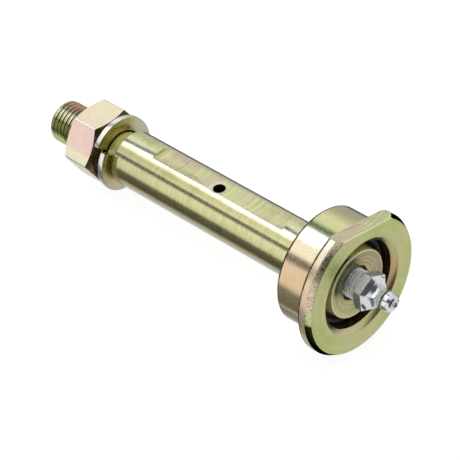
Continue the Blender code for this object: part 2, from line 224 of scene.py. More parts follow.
def smooth(piece: bpy.types.Object, degrees: float = 30.0) -> None:
    """Shades the piece smooth, apart from edges sharper than the angle."""
    pick(piece)
    bpy.ops.object.shade_smooth_by_angle(angle=math.radians(degrees))


def break_edges(piece: bpy.types.Object, wanted: Callable[[Vector, Vector], bool],
                width: float, segments: int = 2) -> None:
    """Bevels the edges whose two ends are both wanted.

    Args:
        piece: The piece to change.
        wanted: Says whether an edge, given by its ends in millimetres, is bevelled.
        width: The bevel's width in millimetres.
        segments: How many faces the bevel has across.
    """
    pick(piece)
    for polygon in piece.data.polygons:
        polygon.select = False
    for vert in piece.data.vertices:
        vert.select = False
    for edge in piece.data.edges:
        ends = [piece.data.vertices[index].co / MM for index in edge.vertices]
        edge.select = wanted(*ends)
    bpy.ops.object.mode_set(mode="EDIT")
    bpy.ops.mesh.select_mode(type="EDGE")
    bpy.ops.mesh.bevel(offset=width * MM, segments=segments, affect="EDGES")
    bpy.ops.mesh.select_mode(type="VERT")
    tidy_shell()


def edge_angle_picker(piece: bpy.types.Object, degrees: float,
                      where: Callable[[Vector], bool]) -> Callable[[Vector, Vector], bool]:
    """Finds sharp edges in one part of a piece.

    Args:
        piece: The piece whose edges are looked at.
        degrees: The least angle between an edge's two faces.
        where: Says whether a point in millimetres is in the part that is looked at.

    Returns:
        A test of an edge's two ends, for break_edges.
    """
    normals: dict[tuple[int, int], list[Vector]] = {}
    for polygon in piece.data.polygons:
        for key in polygon.edge_keys:
            normals.setdefault(key, []).append(polygon.normal.copy())
    sharp = set()
    for key, pair in normals.items():
        ends = [piece.data.vertices[index].co / MM for index in key]
        if len(pair) == 2 and where(ends[0]) and where(ends[1]):
            if pair[0].angle(pair[1], 0.0) > math.radians(degrees):
                sharp.add(tuple(sorted(tuple(round(value, 5) for value in end) for end in ends)))

    def wanted(first: Vector, second: Vector) -> bool:
        """Says whether the edge between these ends was found sharp."""
        ends = (tuple(round(value, 5) for value in end) for end in (first, second))
        return tuple(sorted(ends)) in sharp

    return wanted


@dataclass
class ScrewThread:
    """A right-hand screw thread about X, as a solid rod.

    Sizes are in millimetres; the root and crest are radii.
    """

    pitch: float
    root: float
    crest: float
    start: float
    end: float
    steps: int = 72

    def tooth(self) -> list[Point]:
        """Returns one pitch of the thread's outline, from root to root."""
        flank = (self.crest - self.root) * math.tan(math.radians(30))
        land = (self.pitch - 2 * flank) / 2
        top = land * 0.58
        bottom = self.pitch - 2 * flank - top
        return [
            (0.0, self.root),
            (bottom / 2, self.root),
            (bottom / 2 + flank, self.crest),
            (bottom / 2 + flank + top, self.crest),
            (bottom / 2 + 2 * flank + top, self.root),
            (self.pitch, self.root),
        ]

    def drawn_tooth(self, name: str) -> bpy.types.Object:
        """Draws one tooth as a line of edges, before the rod's start."""
        clear_selection()
        first = self.start - 1.5 * self.pitch
        outline = self.tooth()
        bpy.ops.mesh.primitive_plane_add(size=0.1 * MM, location=(first * MM, 0, self.root * MM))
        rod = named(name)
        bpy.ops.object.transform_apply(location=True, rotation=True, scale=True)
        bpy.ops.object.mode_set(mode="EDIT")
        bpy.ops.mesh.select_all(action="SELECT")
        bpy.ops.mesh.merge(type="CENTER")
        for (x, radius), (next_x, next_radius) in zip(outline, outline[1:]):
            bpy.ops.mesh.extrude_vertices_move(
                TRANSFORM_OT_translate={"value": ((next_x - x) * MM, 0, (next_radius - radius) * MM)})
        bpy.ops.object.mode_set(mode="OBJECT")
        return rod

    def build(self, name: str) -> bpy.types.Object:
        """Screws a tooth along the axis and closes both ends of the rod.

        Args:
            name: The rod's name.

        Returns:
            The closed threaded rod.
        """
        rod = self.drawn_tooth(name)
        screw = rod.modifiers.new("thread", "SCREW")
        screw.axis = "X"
        screw.angle = math.tau
        screw.screw_offset = self.pitch * MM
        screw.iterations = math.ceil((self.end - self.start) / self.pitch) + 3
        screw.steps = self.steps
        screw.render_steps = self.steps
        screw.use_merge_vertices = True
        screw.merge_threshold = 0.001 * MM
        bpy.ops.object.modifier_apply(modifier=screw.name)
        bpy.ops.object.mode_set(mode="EDIT")
        bpy.ops.mesh.select_all(action="SELECT")
        bpy.ops.mesh.remove_doubles(threshold=0.001 * MM)
        for place, side in ((self.start, {"clear_inner": True}), (self.end, {"clear_outer": True})):
            bpy.ops.mesh.select_all(action="SELECT")
            bpy.ops.mesh.bisect(plane_co=(place * MM, 0, 0), plane_no=(1, 0, 0), use_fill=True, **side)
        tidy_shell()
        return rod


# Finishes

class Sheet:
    """A material's or a world's node tree, with short calls to add to it."""

    def __init__(self, owner: bpy.types.Material | bpy.types.World) -> None:
        """Opens the owner's node tree.

        Args:
            owner: The material or world whose nodes are laid out.
        """
        owner.use_nodes = True
        self.tree = owner.node_tree

    @property
    def shader(self) -> bpy.types.Node:
        """The material's own shader."""
        return self.tree.nodes["Principled BSDF"]

    def node(self, kind: str, **values: object) -> bpy.types.Node:
        """Adds a node and sets its own values."""
        node = self.tree.nodes.new(kind)
        for key, value in values.items():
            setattr(node, key, value)
        return node

    def feed(self, socket: bpy.types.NodeSocket, source: object) -> None:
        """Links a socket to an output, or sets it to a value."""
        if isinstance(source, bpy.types.NodeSocket):
            self.tree.links.new(source, socket)
        else:
            socket.default_value = source

    def math(self, operation: str, first: object, second: object = 0.0) -> bpy.types.NodeSocket:
        """Adds one sum and returns its result."""
        node = self.node("ShaderNodeMath", operation=operation)
        self.feed(node.inputs[0], first)
        self.feed(node.inputs[1], second)
        return node.outputs[0]

    def combine(self, x: object, y: object, z: object) -> bpy.types.NodeSocket:
        """Joins three numbers into one vector."""
        node = self.node("ShaderNodeCombineXYZ")
        for socket, value in zip(node.inputs, (x, y, z)):
            self.feed(socket, value)
        return node.outputs[0]

    def noise(self, vector: object, scale: float, detail: float = 2.0,
              roughness: float = 0.5) -> bpy.types.NodeSocket:
        """Adds a noise and returns its value."""
        node = self.node("ShaderNodeTexNoise")
        self.feed(node.inputs["Vector"], vector)
        node.inputs["Scale"].default_value = scale
        node.inputs["Detail"].default_value = detail
        node.inputs["Roughness"].default_value = roughness
        return node.outputs["Fac"]

    def ramp(self, value: object, stops: Sequence[tuple[float, Colour]]) -> bpy.types.NodeSocket:
        """Turns a value into colours by stops and returns the colour."""
        node = self.node("ShaderNodeValToRGB")
        self.feed(node.inputs[0], value)
        elements = node.color_ramp.elements
        while len(elements) < len(stops):
            elements.new(0.5)
        for element, (place, colour) in zip(elements, stops):
            element.position = place
            element.color = (*colour, 1.0)
        return node.outputs[0]

    def spread(self, value: object, low: float, high: float, to_low: float = 0.0,
               to_high: float = 1.0) -> bpy.types.NodeSocket:
        """Stretches a value from one range to another, held at its ends."""
        node = self.node("ShaderNodeMapRange", interpolation_type="SMOOTHSTEP")
        self.feed(node.inputs["Value"], value)
        node.inputs["From Min"].default_value = low
        node.inputs["From Max"].default_value = high
        node.inputs["To Min"].default_value = to_low
        node.inputs["To Max"].default_value = to_high
        return node.outputs["Result"]

    def blend(self, share: object, first: object, second: object) -> bpy.types.NodeSocket:
        """Mixes two colours."""
        node = self.node("ShaderNodeMix", data_type="RGBA")
        self.feed(node.inputs["Factor"], share)
        self.feed(node.inputs["A"], first)
        self.feed(node.inputs["B"], second)
        return node.outputs["Result"]


@dataclass(frozen=True)
class PinCoordinates:
    """The places on a surface, counted from the pin's own axis in millimetres."""

    whole: bpy.types.NodeSocket
    along: bpy.types.NodeSocket
    radius: bpy.types.NodeSocket
    turn: bpy.types.NodeSocket

    @classmethod
    def on(cls, sheet: Sheet, place: Place) -> "PinCoordinates":
        """Adds the nodes that turn Object coordinates into the pin's own."""
        source = sheet.node("ShaderNodeTexCoord")
        mapping = sheet.node("ShaderNodeMapping", vector_type="TEXTURE")
        sheet.feed(mapping.inputs["Vector"], source.outputs["Object"])
        mapping.inputs["Location"].default_value = place.shoulder
        mapping.inputs["Rotation"].default_value = place.turn()
        mapping.inputs["Scale"].default_value = (MM, MM, MM)
        parts = sheet.node("ShaderNodeSeparateXYZ")
        sheet.feed(parts.inputs[0], mapping.outputs[0])
        along, side, up = parts.outputs
        square = sheet.math("ADD", sheet.math("MULTIPLY", side, side), sheet.math("MULTIPLY", up, up))
        radius = sheet.math("SQRT", square)
        turn = sheet.math("ARCTAN2", sheet.math("MULTIPLY", side, -1.0), up)
        return cls(mapping.outputs[0], along, radius, turn)


@dataclass(frozen=True)
class PaintedShade:
    """Painted shade that darkens a finish towards a recess or a gap between parts."""

    by: str
    dark: float
    light: float
    least: float


@dataclass(frozen=True)
class PlatedFinish:
    """Zinc plating with a thin tinted film, over the marks of turning or milling.

    The patch tints lie by chance. The tints by turn, in degrees about the pin's axis, are mostly painted
    reflections, highlights and shade laid on one side or another, with some film tints among them.
    """

    name: str
    tints: tuple[tuple[float, Colour], ...]
    # Painted reflections, highlights and shade by turn about the axis, with some film tints
    tints_and_painted_light_by_turn: tuple[tuple[float, Colour], ...] = ()
    patch_share: float = 0.2
    patch_scale: float = 0.09
    wander: float = 8.0
    roughness: tuple[float, float] = (0.13, 0.2)
    metallic: float = 1.0
    edge_tint: float = 1.0
    speckle: float = 0.05
    speckle_scale: float = 1.2
    ring_depth: float = 0.004
    ring_scale: float = 2.2
    ring_tint: float = 0.08
    grain_depth: float = 0.004
    grain_scale: float = 0.8
    # Painted shade towards a recess or gap, if any
    painted_shade: PaintedShade | None = None

    def colour(self, sheet: Sheet, at: PinCoordinates) -> bpy.types.NodeSocket:
        """Lays out the film's tints and the painted reflections, highlights and shade by turn, before the
        marks.
        """
        patches = sheet.spread(sheet.noise(at.whole, self.patch_scale, 3.0, 0.55), 0.3, 0.7)
        tint = sheet.ramp(patches, self.tints)
        if not self.tints_and_painted_light_by_turn:
            return tint
        # The painted reflections, highlights and shade by turn, their edges wandering a little
        streaks = sheet.node("ShaderNodeVectorMath", operation="MULTIPLY")
        sheet.feed(streaks.inputs[0], at.whole)
        streaks.inputs[1].default_value = (0.25, 1.0, 1.0)
        shift = sheet.math("SUBTRACT", sheet.noise(streaks.outputs[0], 0.35, 3.0, 0.6), 0.5)
        turns = sheet.math("DIVIDE", at.turn, math.tau)
        turns = sheet.math("ADD", turns, sheet.math("MULTIPLY", shift, self.wander / 180))
        place = sheet.math("FRACT", sheet.math("ADD", turns, 0.5))
        stops = [((degrees + 180) / 360, colour) for degrees, colour in self.tints_and_painted_light_by_turn]
        return sheet.blend(self.patch_share, sheet.ramp(place, stops), tint)

    def shade(self, sheet: Sheet, at: PinCoordinates, speckle: bpy.types.NodeSocket,
              rings: bpy.types.NodeSocket) -> bpy.types.NodeSocket:
        """Lays out how light the finish is: speckled, ringed by turning, and with painted shade towards a
        recess or gap.
        """
        shade = sheet.math("MULTIPLY",
                           sheet.spread(speckle, 0.3, 0.7, 1.0 - self.speckle, 1.0 + self.speckle),
                           sheet.spread(rings, 0.3, 0.7, 1.0 - self.ring_tint, 1.0 + self.ring_tint))
        # Painted shade: the colour darkens towards the recess or gap
        if self.painted_shade:
            source = {"along": at.along, "radius": at.radius}[self.painted_shade.by]
            shade = sheet.math("MULTIPLY", shade, sheet.spread(
                source, self.painted_shade.dark, self.painted_shade.light, self.painted_shade.least, 1.0))
        return shade

    def relief(self, sheet: Sheet, at: PinCoordinates,
               rings: bpy.types.NodeSocket) -> bpy.types.NodeSocket:
        """Lays out the fine grain and the marks of turning."""
        grain = sheet.noise(at.whole, self.grain_scale, 2.0, 0.6)
        height = sheet.math("ADD", sheet.math("MULTIPLY", rings, self.ring_depth),
                            sheet.math("MULTIPLY", grain, self.grain_depth))
        bump = sheet.node("ShaderNodeBump")
        bump.inputs["Distance"].default_value = MM
        bump.inputs["Strength"].default_value = 1.0
        sheet.feed(bump.inputs["Height"], height)
        return bump.outputs[0]

    def build(self, place: Place) -> bpy.types.Material:
        """Makes the finish as a material.

        Args:
            place: Where the pin's own axis lies.

        Returns:
            The new material.
        """
        material = bpy.data.materials.new(self.name)
        sheet = Sheet(material)
        at = PinCoordinates.on(sheet, place)
        speckle = sheet.noise(at.whole, self.speckle_scale, 2.0, 0.6)
        rings = sheet.noise(sheet.combine(sheet.math("ADD", at.along, at.radius),
                                          sheet.math("MULTIPLY", at.turn, 0.25), 0.0),
                            self.ring_scale, 2.0)
        shade = self.shade(sheet, at, speckle, rings)
        scaled = sheet.node("ShaderNodeVectorMath", operation="SCALE")
        sheet.feed(scaled.inputs[0], self.colour(sheet, at))
        sheet.feed(scaled.inputs["Scale"], shade)
        sheet.feed(sheet.shader.inputs["Base Color"], scaled.outputs[0])
        sheet.shader.inputs["Metallic"].default_value = self.metallic
        sheet.shader.inputs["Specular Tint"].default_value = (*(self.edge_tint,) * 3, 1.0)
        sheet.feed(sheet.shader.inputs["Roughness"], sheet.spread(speckle, 0.3, 0.7, *self.roughness))
        sheet.feed(sheet.shader.inputs["Normal"], self.relief(sheet, at, rings))
        return material


class Finishes:
    """All the finishes of the pin and its fittings."""

    OLIVE: Colour = (0.36, 0.36, 0.14)
    YELLOW: Colour = (0.72, 0.70, 0.36)
    GREEN: Colour = (0.62, 0.68, 0.34)
    TAN: Colour = (0.66, 0.60, 0.40)
    PINK: Colour = (0.74, 0.56, 0.44)
    # Painted highlight, for the bright bands by turn
    PAINTED_HIGHLIGHT: Colour = (0.90, 0.88, 0.78)
    CREAM: Colour = (0.98, 0.88, 0.68)
    PEACH: Colour = (0.92, 0.66, 0.44)
    PLUM: Colour = (0.32, 0.20, 0.18)
    # Near-black painted dark reflection, for the dark bands by turn
    PAINTED_DARK_REFLECTION: Colour = (0.012, 0.014, 0.006)
    PATCHES = ((0.0, OLIVE), (0.35, YELLOW), (0.7, GREEN), (1.0, TAN))

    def __init__(self, place: Place) -> None:
        """Builds each finish once.

        Args:
            place: Where the pin's own axis lies.
        """
        self.place = place
        self.plate_shank()
        self.plate_head()
        self.plate_groove()
        self.plate_worked_faces()
        self.plate_nut_and_washer()
        self.plate_nipple()

    def plate_shank(self) -> None:
        """Makes the finishes of the shank, its neck and its oil hole."""
        # Painted reflections by turn on the shank: pale highlight bands and plum and olive dark bands,
        # over random film tints
        self.shank = PlatedFinish(
            "yellow_zinc_shank", self.PATCHES,
            ((-180, self.GREEN), (-110, self.OLIVE), (-52, self.PLUM), (-40, (0.60, 0.46, 0.42)),
             (-34, (0.94, 0.86, 0.62)), (-20, (0.90, 0.88, 0.50)), (-5, self.GREEN), (14, self.PAINTED_HIGHLIGHT),
             (24, self.PAINTED_HIGHLIGHT), (29, (0.60, 0.58, 0.30)), (36, (0.60, 0.56, 0.27)),
             (41, (0.74, 0.68, 0.40)), (48, (0.60, 0.56, 0.30)), (54, (0.76, 0.72, 0.42)),
             (66, (0.66, 0.64, 0.31)), (74, (0.58, 0.52, 0.27)), (80, (0.50, 0.42, 0.20)),
             (96, (0.44, 0.40, 0.18)), (102, self.TAN), (125, self.PINK), (150, self.GREEN),
             (180, self.GREEN)), patch_share=0.26, patch_scale=0.16, wander=3.5, speckle=0.09,
            grain_depth=0.007, ring_depth=0.0025, ring_tint=0.08).build(self.place)
        # Painted shadow: the neck turns nearly black beside the washer, for the shaded gap there
        self.neck = PlatedFinish(
            "yellow_zinc_neck", ((0.0, (0.66, 0.64, 0.20)), (1.0, (0.80, 0.82, 0.36))),
            roughness=(0.3, 0.4), metallic=0.45, ring_scale=0.8, ring_tint=0.2,
            painted_shade=PaintedShade("along", -3.8, -3.5, 0.03)).build(self.place)
        # Painted highlight: the oil hole's countersink is near white and barely metallic, so it reads as
        # a bright ring
        self.countersink_highlight = PlatedFinish(
            "yellow_zinc_countersink_highlight", ((0.0, (1.0, 0.92, 0.62)), (1.0, (1.0, 0.98, 0.72))),
            roughness=(0.3, 0.4), metallic=0.1, ring_tint=0.0).build(self.place)
        # Painted shade: the oil hole's bore is dark brown, for the shade down inside it
        self.bore = PlatedFinish(
            "yellow_zinc_bore_painted_shade", ((0.0, (0.10, 0.07, 0.03)), (1.0, (0.16, 0.11, 0.05))),
            roughness=(0.4, 0.5), ring_tint=0.0).build(self.place)

    def plate_head(self) -> None:
        """Makes the finishes of the collar, the flange and the face."""
        # Painted reflections by turn on the collar: a pale highlight band, bright peach and yellow bands,
        # and dark painted shade on the underside
        self.collar = PlatedFinish(
            "yellow_zinc_collar", self.PATCHES,
            ((-180, self.OLIVE), (-60, self.OLIVE), (-42, (0.60, 0.54, 0.38)),
             (-22, (0.62, 0.56, 0.34)), (-6, (0.74, 0.68, 0.38)), (6, self.GREEN),
             (11, (0.46, 0.56, 0.28)), (16, self.PAINTED_HIGHLIGHT), (24, self.PAINTED_HIGHLIGHT), (30, (0.88, 0.76, 0.54)),
             (40, (0.87, 0.74, 0.52)), (50, (0.76, 0.55, 0.36)), (66, (0.74, 0.54, 0.34)),
             (73, (0.74, 0.57, 0.33)), (78, (0.92, 0.76, 0.42)), (84, (1.0, 0.83, 0.48)),
             (97, (1.0, 0.83, 0.48)), (102, (0.24, 0.20, 0.11)), (130, (0.20, 0.17, 0.10)),
             (180, self.OLIVE)), patch_share=0.06, wander=5.0, ring_tint=0.03).build(self.place)
        # Painted shade: a dark ring round the foot of the collar and of the flange, for the dark line at
        # each step
        self.edge = PlatedFinish(
            "yellow_zinc_edge_painted_shade", ((0.0, (0.05, 0.04, 0.02)), (0.6, (0.14, 0.10, 0.04)),
                                 (1.0, (0.30, 0.26, 0.12))),
            patch_scale=0.5, speckle=0.5, speckle_scale=1.0, metallic=0.6, roughness=(0.3, 0.4),
            ring_tint=0.0).build(self.place)
        # Painted reflections by turn on the flange: pale and cream highlight bands, peach and pink bands,
        # olive on the far side
        self.flange = PlatedFinish(
            "yellow_zinc_flange", self.PATCHES,
            ((-180, self.OLIVE), (-60, self.TAN), (10, self.GREEN), (16, self.PAINTED_HIGHLIGHT),
             (24, self.PAINTED_HIGHLIGHT), (34, self.CREAM), (60, self.PEACH), (76, self.PINK), (92, self.YELLOW),
             (110, self.TAN), (130, self.OLIVE), (180, self.OLIVE)), patch_share=0.1, metallic=0.6,
            roughness=(0.2, 0.3)).build(self.place)
        # Painted reflections by turn on the flange's bevel: near-black dark bands between pink, green and
        # yellow bands
        self.bevel = PlatedFinish(
            "yellow_zinc_bevel", self.PATCHES,
            ((-180, self.OLIVE), (-112, self.OLIVE), (-98, self.PAINTED_DARK_REFLECTION), (-40, self.PAINTED_DARK_REFLECTION),
             (-20, self.OLIVE), (10, (0.50, 0.42, 0.28)), (50, (0.56, 0.46, 0.34)),
             (58, self.PINK), (70, self.PINK), (78, self.GREEN), (86, self.YELLOW), (90, self.PAINTED_DARK_REFLECTION),
             (135, self.PAINTED_DARK_REFLECTION), (150, self.OLIVE), (180, self.OLIVE)),
            patch_share=0.03, speckle=0.4, speckle_scale=2.2, edge_tint=0.0,
            roughness=(0.2, 0.34)).build(self.place)
        self.face = PlatedFinish(
            "yellow_zinc_face",
            ((0.0, (0.52, 0.54, 0.20)), (0.5, (0.54, 0.61, 0.24)), (1.0, (0.62, 0.60, 0.30))),
            roughness=(0.26, 0.34), ring_depth=0.008, ring_scale=1.4, ring_tint=0.07).build(self.place)

    def plate_groove(self) -> None:
        """Makes the finishes of the boss and of the groove round it."""
        # Painted shade by turn on the boss: darkest on the side by the nipple, yellower below
        self.boss = PlatedFinish(
            "yellow_zinc_boss",
            ((0.0, (0.30, 0.27, 0.10)), (0.5, (0.42, 0.37, 0.18)), (1.0, (0.54, 0.46, 0.24))),
            ((-180, (0.50, 0.44, 0.24)), (-110, (0.50, 0.38, 0.24)), (-70, (0.52, 0.42, 0.28)),
             (-30, (0.40, 0.35, 0.18)), (20, (0.24, 0.22, 0.10)), (62, (0.22, 0.21, 0.09)),
             (100, (0.44, 0.42, 0.20)), (140, (0.56, 0.54, 0.26)), (180, (0.50, 0.44, 0.24))),
            patch_share=0.25, wander=14.0, roughness=(0.24, 0.32), ring_depth=0.01, ring_scale=1.0,
            ring_tint=0.22).build(self.place)
        # Painted highlight: a bright yellow-green on the boss's rounded rim and on the broken edge of the
        # flange's flat
        self.rim = PlatedFinish(
            "yellow_zinc_rim_highlight", ((0.0, (0.86, 0.90, 0.44)), (1.0, (0.96, 0.96, 0.60))),
            roughness=(0.26, 0.34), metallic=0.4, ring_tint=0.0).build(self.place)
        # Painted shade: the groove is near black, darkest deep down, for the shade inside it
        self.groove = PlatedFinish(
            "yellow_zinc_groove_painted_shade",
            ((0.0, (0.07, 0.06, 0.02)), (0.6, (0.11, 0.08, 0.03)), (1.0, (0.20, 0.15, 0.05))),
            patch_scale=0.2, roughness=(0.22, 0.3), metallic=0.7,
            painted_shade=PaintedShade("along", 92.2, 93.6, 0.1)).build(self.place)
        # Painted light and shade by turn on the boss's wall in the groove: bright gold where lit, near
        # black where shaded, and painted shade deep down; not metallic, so the paint shows as it is
        self.boss_wall = PlatedFinish(
            "yellow_zinc_boss_wall",
            ((0.0, (0.90, 0.78, 0.20)), (0.55, (1.0, 0.86, 0.26)), (1.0, (0.86, 0.60, 0.20))),
            ((-180, (0.10, 0.08, 0.03)), (-70, (0.10, 0.08, 0.03)), (-48, (0.34, 0.30, 0.08)),
             (-30, (1.0, 0.90, 0.26)), (4, (1.0, 0.92, 0.34)), (16, (0.05, 0.04, 0.02)),
             (44, (0.05, 0.04, 0.02)), (56, (0.80, 0.46, 0.20)), (80, (0.96, 0.84, 0.24)),
             (110, (1.0, 0.90, 0.26)), (130, (0.20, 0.16, 0.05)), (180, (0.10, 0.08, 0.03))),
            patch_share=0.12, wander=6.0, patch_scale=0.2, roughness=(0.3, 0.4), metallic=0.0,
            painted_shade=PaintedShade("along", 91.8, 92.8, 0.2)).build(self.place)
        # Painted reflection by turn on the groove's chamfer: a brown patch on one side, green elsewhere
        self.mouth = PlatedFinish(
            "yellow_zinc_mouth",
            ((0.0, (0.52, 0.46, 0.24)), (0.5, (0.56, 0.54, 0.26)), (1.0, (0.60, 0.42, 0.26))),
            ((-180, (0.56, 0.54, 0.28)), (-150, (0.54, 0.46, 0.26)), (-130, (0.50, 0.31, 0.18)),
             (-100, (0.56, 0.36, 0.20)), (-80, (0.50, 0.46, 0.20)), (-40, self.GREEN),
             (60, self.GREEN), (120, self.TAN), (180, (0.56, 0.54, 0.28))),
            patch_share=0.2, roughness=(0.22, 0.3)).build(self.place)

    def plate_worked_faces(self) -> None:
        """Makes the finishes of the milled flats and of the thread."""
        self.milled = PlatedFinish(
            "yellow_zinc_milled",
            ((0.0, (0.64, 0.60, 0.36)), (0.5, (0.72, 0.74, 0.39)), (1.0, (0.70, 0.59, 0.42))),
            roughness=(0.26, 0.36), ring_depth=0.006, ring_scale=0.9, ring_tint=0.14).build(self.place)
        # Painted light by turn on the thread: a pale highlight band, plum and olive dark bands, and
        # painted shade in the roots
        self.thread = PlatedFinish(
            "yellow_zinc_thread", self.PATCHES,
            ((-180, self.OLIVE), (-45, self.PLUM), (-30, (0.46, 0.25, 0.16)), (-4, (0.58, 0.38, 0.26)),
             (10, self.PAINTED_HIGHLIGHT), (34, (1.0, 0.98, 0.76)), (44, (0.98, 0.94, 0.60)), (50, self.GREEN),
             (68, (0.46, 0.50, 0.20)), (80, self.OLIVE), (90, self.GREEN), (180, self.OLIVE)),
            patch_share=0.1, ring_depth=0.0, ring_tint=0.0, roughness=(0.18, 0.26),
            painted_shade=PaintedShade("radius", 6.15, 6.55, 0.04)).build(self.place)

    def plate_nut_and_washer(self) -> None:
        """Makes the finishes of the nut and of the spring washer."""
        # Painted light by turn on the nut's flats: a white highlight line at a corner and one near-white
        # flat, among pink and cream film tints
        self.nut = PlatedFinish(
            "nut_zinc_tinted",
            ((0.0, (0.86, 0.84, 0.56)), (0.35, (0.92, 0.78, 0.58)), (0.7, (0.86, 0.66, 0.62)),
             (1.0, (0.82, 0.68, 0.70))),
            ((-180, self.CREAM), (-60, self.CREAM), (-20, (1.0, 0.90, 0.62)),
             (27, (1.0, 0.92, 0.62)), (28.5, (1.0, 1.0, 0.96)), (31, (1.0, 1.0, 0.96)),
             (32, (0.94, 0.64, 0.60)), (72, (0.94, 0.64, 0.60)), (78, (0.96, 0.90, 0.56)),
             (88, (0.86, 0.92, 0.68)), (95, (0.98, 0.97, 0.94)), (180, self.CREAM)),
            patch_share=0.4, patch_scale=0.2, wander=3.0, roughness=(0.24, 0.32), ring_depth=0.0,
            ring_tint=0.0).build(self.place)
        # Painted shade: the nut's faces towards the washer are dark brown, for the shaded gap there
        self.nut_inner_end_shade = PlatedFinish(
            "nut_zinc_inner_end_painted_shade", ((0.0, (0.07, 0.05, 0.02)), (0.6, (0.12, 0.08, 0.03)),
                             (1.0, (0.34, 0.20, 0.10))),
            patch_scale=0.2, roughness=(0.26, 0.36), metallic=0.8).build(self.place)
        # Painted shade by turn on the washer's faces: darker through one side, paler on the other
        self.washer_face = PlatedFinish(
            "washer_zinc_face",
            ((0.0, (0.42, 0.38, 0.14)), (0.5, (0.52, 0.46, 0.16)), (1.0, (0.56, 0.52, 0.30))),
            ((-180, (0.50, 0.50, 0.36)), (-75, (0.56, 0.58, 0.46)), (-45, (0.60, 0.62, 0.46)),
             (-25, (0.44, 0.40, 0.15)), (48, (0.42, 0.36, 0.12)), (80, (0.30, 0.28, 0.14)),
             (110, (0.50, 0.46, 0.30)), (140, (0.62, 0.54, 0.44)), (180, (0.50, 0.50, 0.36))),
            patch_share=0.25, wander=10.0, roughness=(0.22, 0.32), ring_depth=0.0,
            ring_tint=0.0).build(self.place)
        self.washer = PlatedFinish(
            "washer_zinc_tinted",
            ((0.0, (0.80, 0.82, 0.76)), (0.6, (0.92, 0.92, 0.88)), (1.0, (0.84, 0.80, 0.62))),
            roughness=(0.18, 0.28), ring_depth=0.0, ring_tint=0.0).build(self.place)

    def plate_nipple(self) -> None:
        """Makes the finishes of the nipple, its ball and its spring."""
        self.nipple = PlatedFinish(
            "bright_zinc_turned",
            ((0.0, (0.74, 0.78, 0.82)), (1.0, (0.86, 0.88, 0.90))),
            roughness=(0.12, 0.2), speckle=0.03).build(self.place)
        # Painted light and shade by turn on the nipple's hexagon: lit sides pale, the upper and lower
        # sides painted dark; barely metallic, so the paint shows as it is
        self.nipple_sides = PlatedFinish(
            "bright_zinc_sides",
            ((0.0, (0.80, 0.84, 0.82)), (0.5, (0.92, 0.96, 0.94)), (1.0, (1.0, 1.0, 0.98))),
            ((-180, (0.44, 0.46, 0.42)), (-62, (0.44, 0.46, 0.42)), (-56, (0.27, 0.29, 0.25)),
             (0, (0.27, 0.29, 0.25)), (4, (0.92, 0.94, 0.92)), (60, (0.92, 0.94, 0.92)),
             (64, (0.22, 0.24, 0.20)), (118, (0.22, 0.24, 0.20)), (124, (0.44, 0.46, 0.42)),
             (180, (0.44, 0.46, 0.42))), wander=0.0, patch_share=0.1, patch_scale=0.4,
            roughness=(0.24, 0.34), metallic=0.1, speckle=0.05, ring_tint=0.25,
            ring_scale=1.2).build(self.place)
        self.nipple_stem = PlatedFinish(
            "bright_zinc_stem",
            ((0.0, (0.66, 0.70, 0.68)), (0.5, (0.80, 0.84, 0.82)), (1.0, (0.92, 0.94, 0.92))),
            patch_scale=0.3, roughness=(0.2, 0.3), metallic=0.3, ring_tint=0.2,
            ring_scale=1.4).build(self.place)
        self.ball = PlatedFinish(
            "ball_steel_polished", ((0.0, (0.30, 0.30, 0.29)), (1.0, (0.40, 0.40, 0.39))),
            roughness=(0.08, 0.14), speckle=0.02, ring_depth=0.0, ring_tint=0.0,
            grain_depth=0.0).build(self.place)
        self.spring = PlatedFinish(
            "spring_steel_drawn", ((0.0, (0.42, 0.42, 0.41)), (1.0, (0.56, 0.56, 0.55))),
            roughness=(0.24, 0.34), ring_depth=0.0, ring_tint=0.0).build(self.place)


# The pieces

@dataclass
class Piece:
    """A dressed piece: what it stands for and what it rides on."""

    place: Place
    finishes: Finishes

    def settle(self, piece: bpy.types.Object, node: str, body: str, slot: str) -> None:
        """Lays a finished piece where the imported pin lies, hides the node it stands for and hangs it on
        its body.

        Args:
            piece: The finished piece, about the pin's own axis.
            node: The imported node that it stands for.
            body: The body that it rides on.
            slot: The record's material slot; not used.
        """
        piece.data.transform(self.place.matrix())
        piece.data.update()
        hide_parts(node)
        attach(piece, body)
        LOG.info("%s: %d faces, stands for %s", piece.name, len(piece.data.polygons), node)


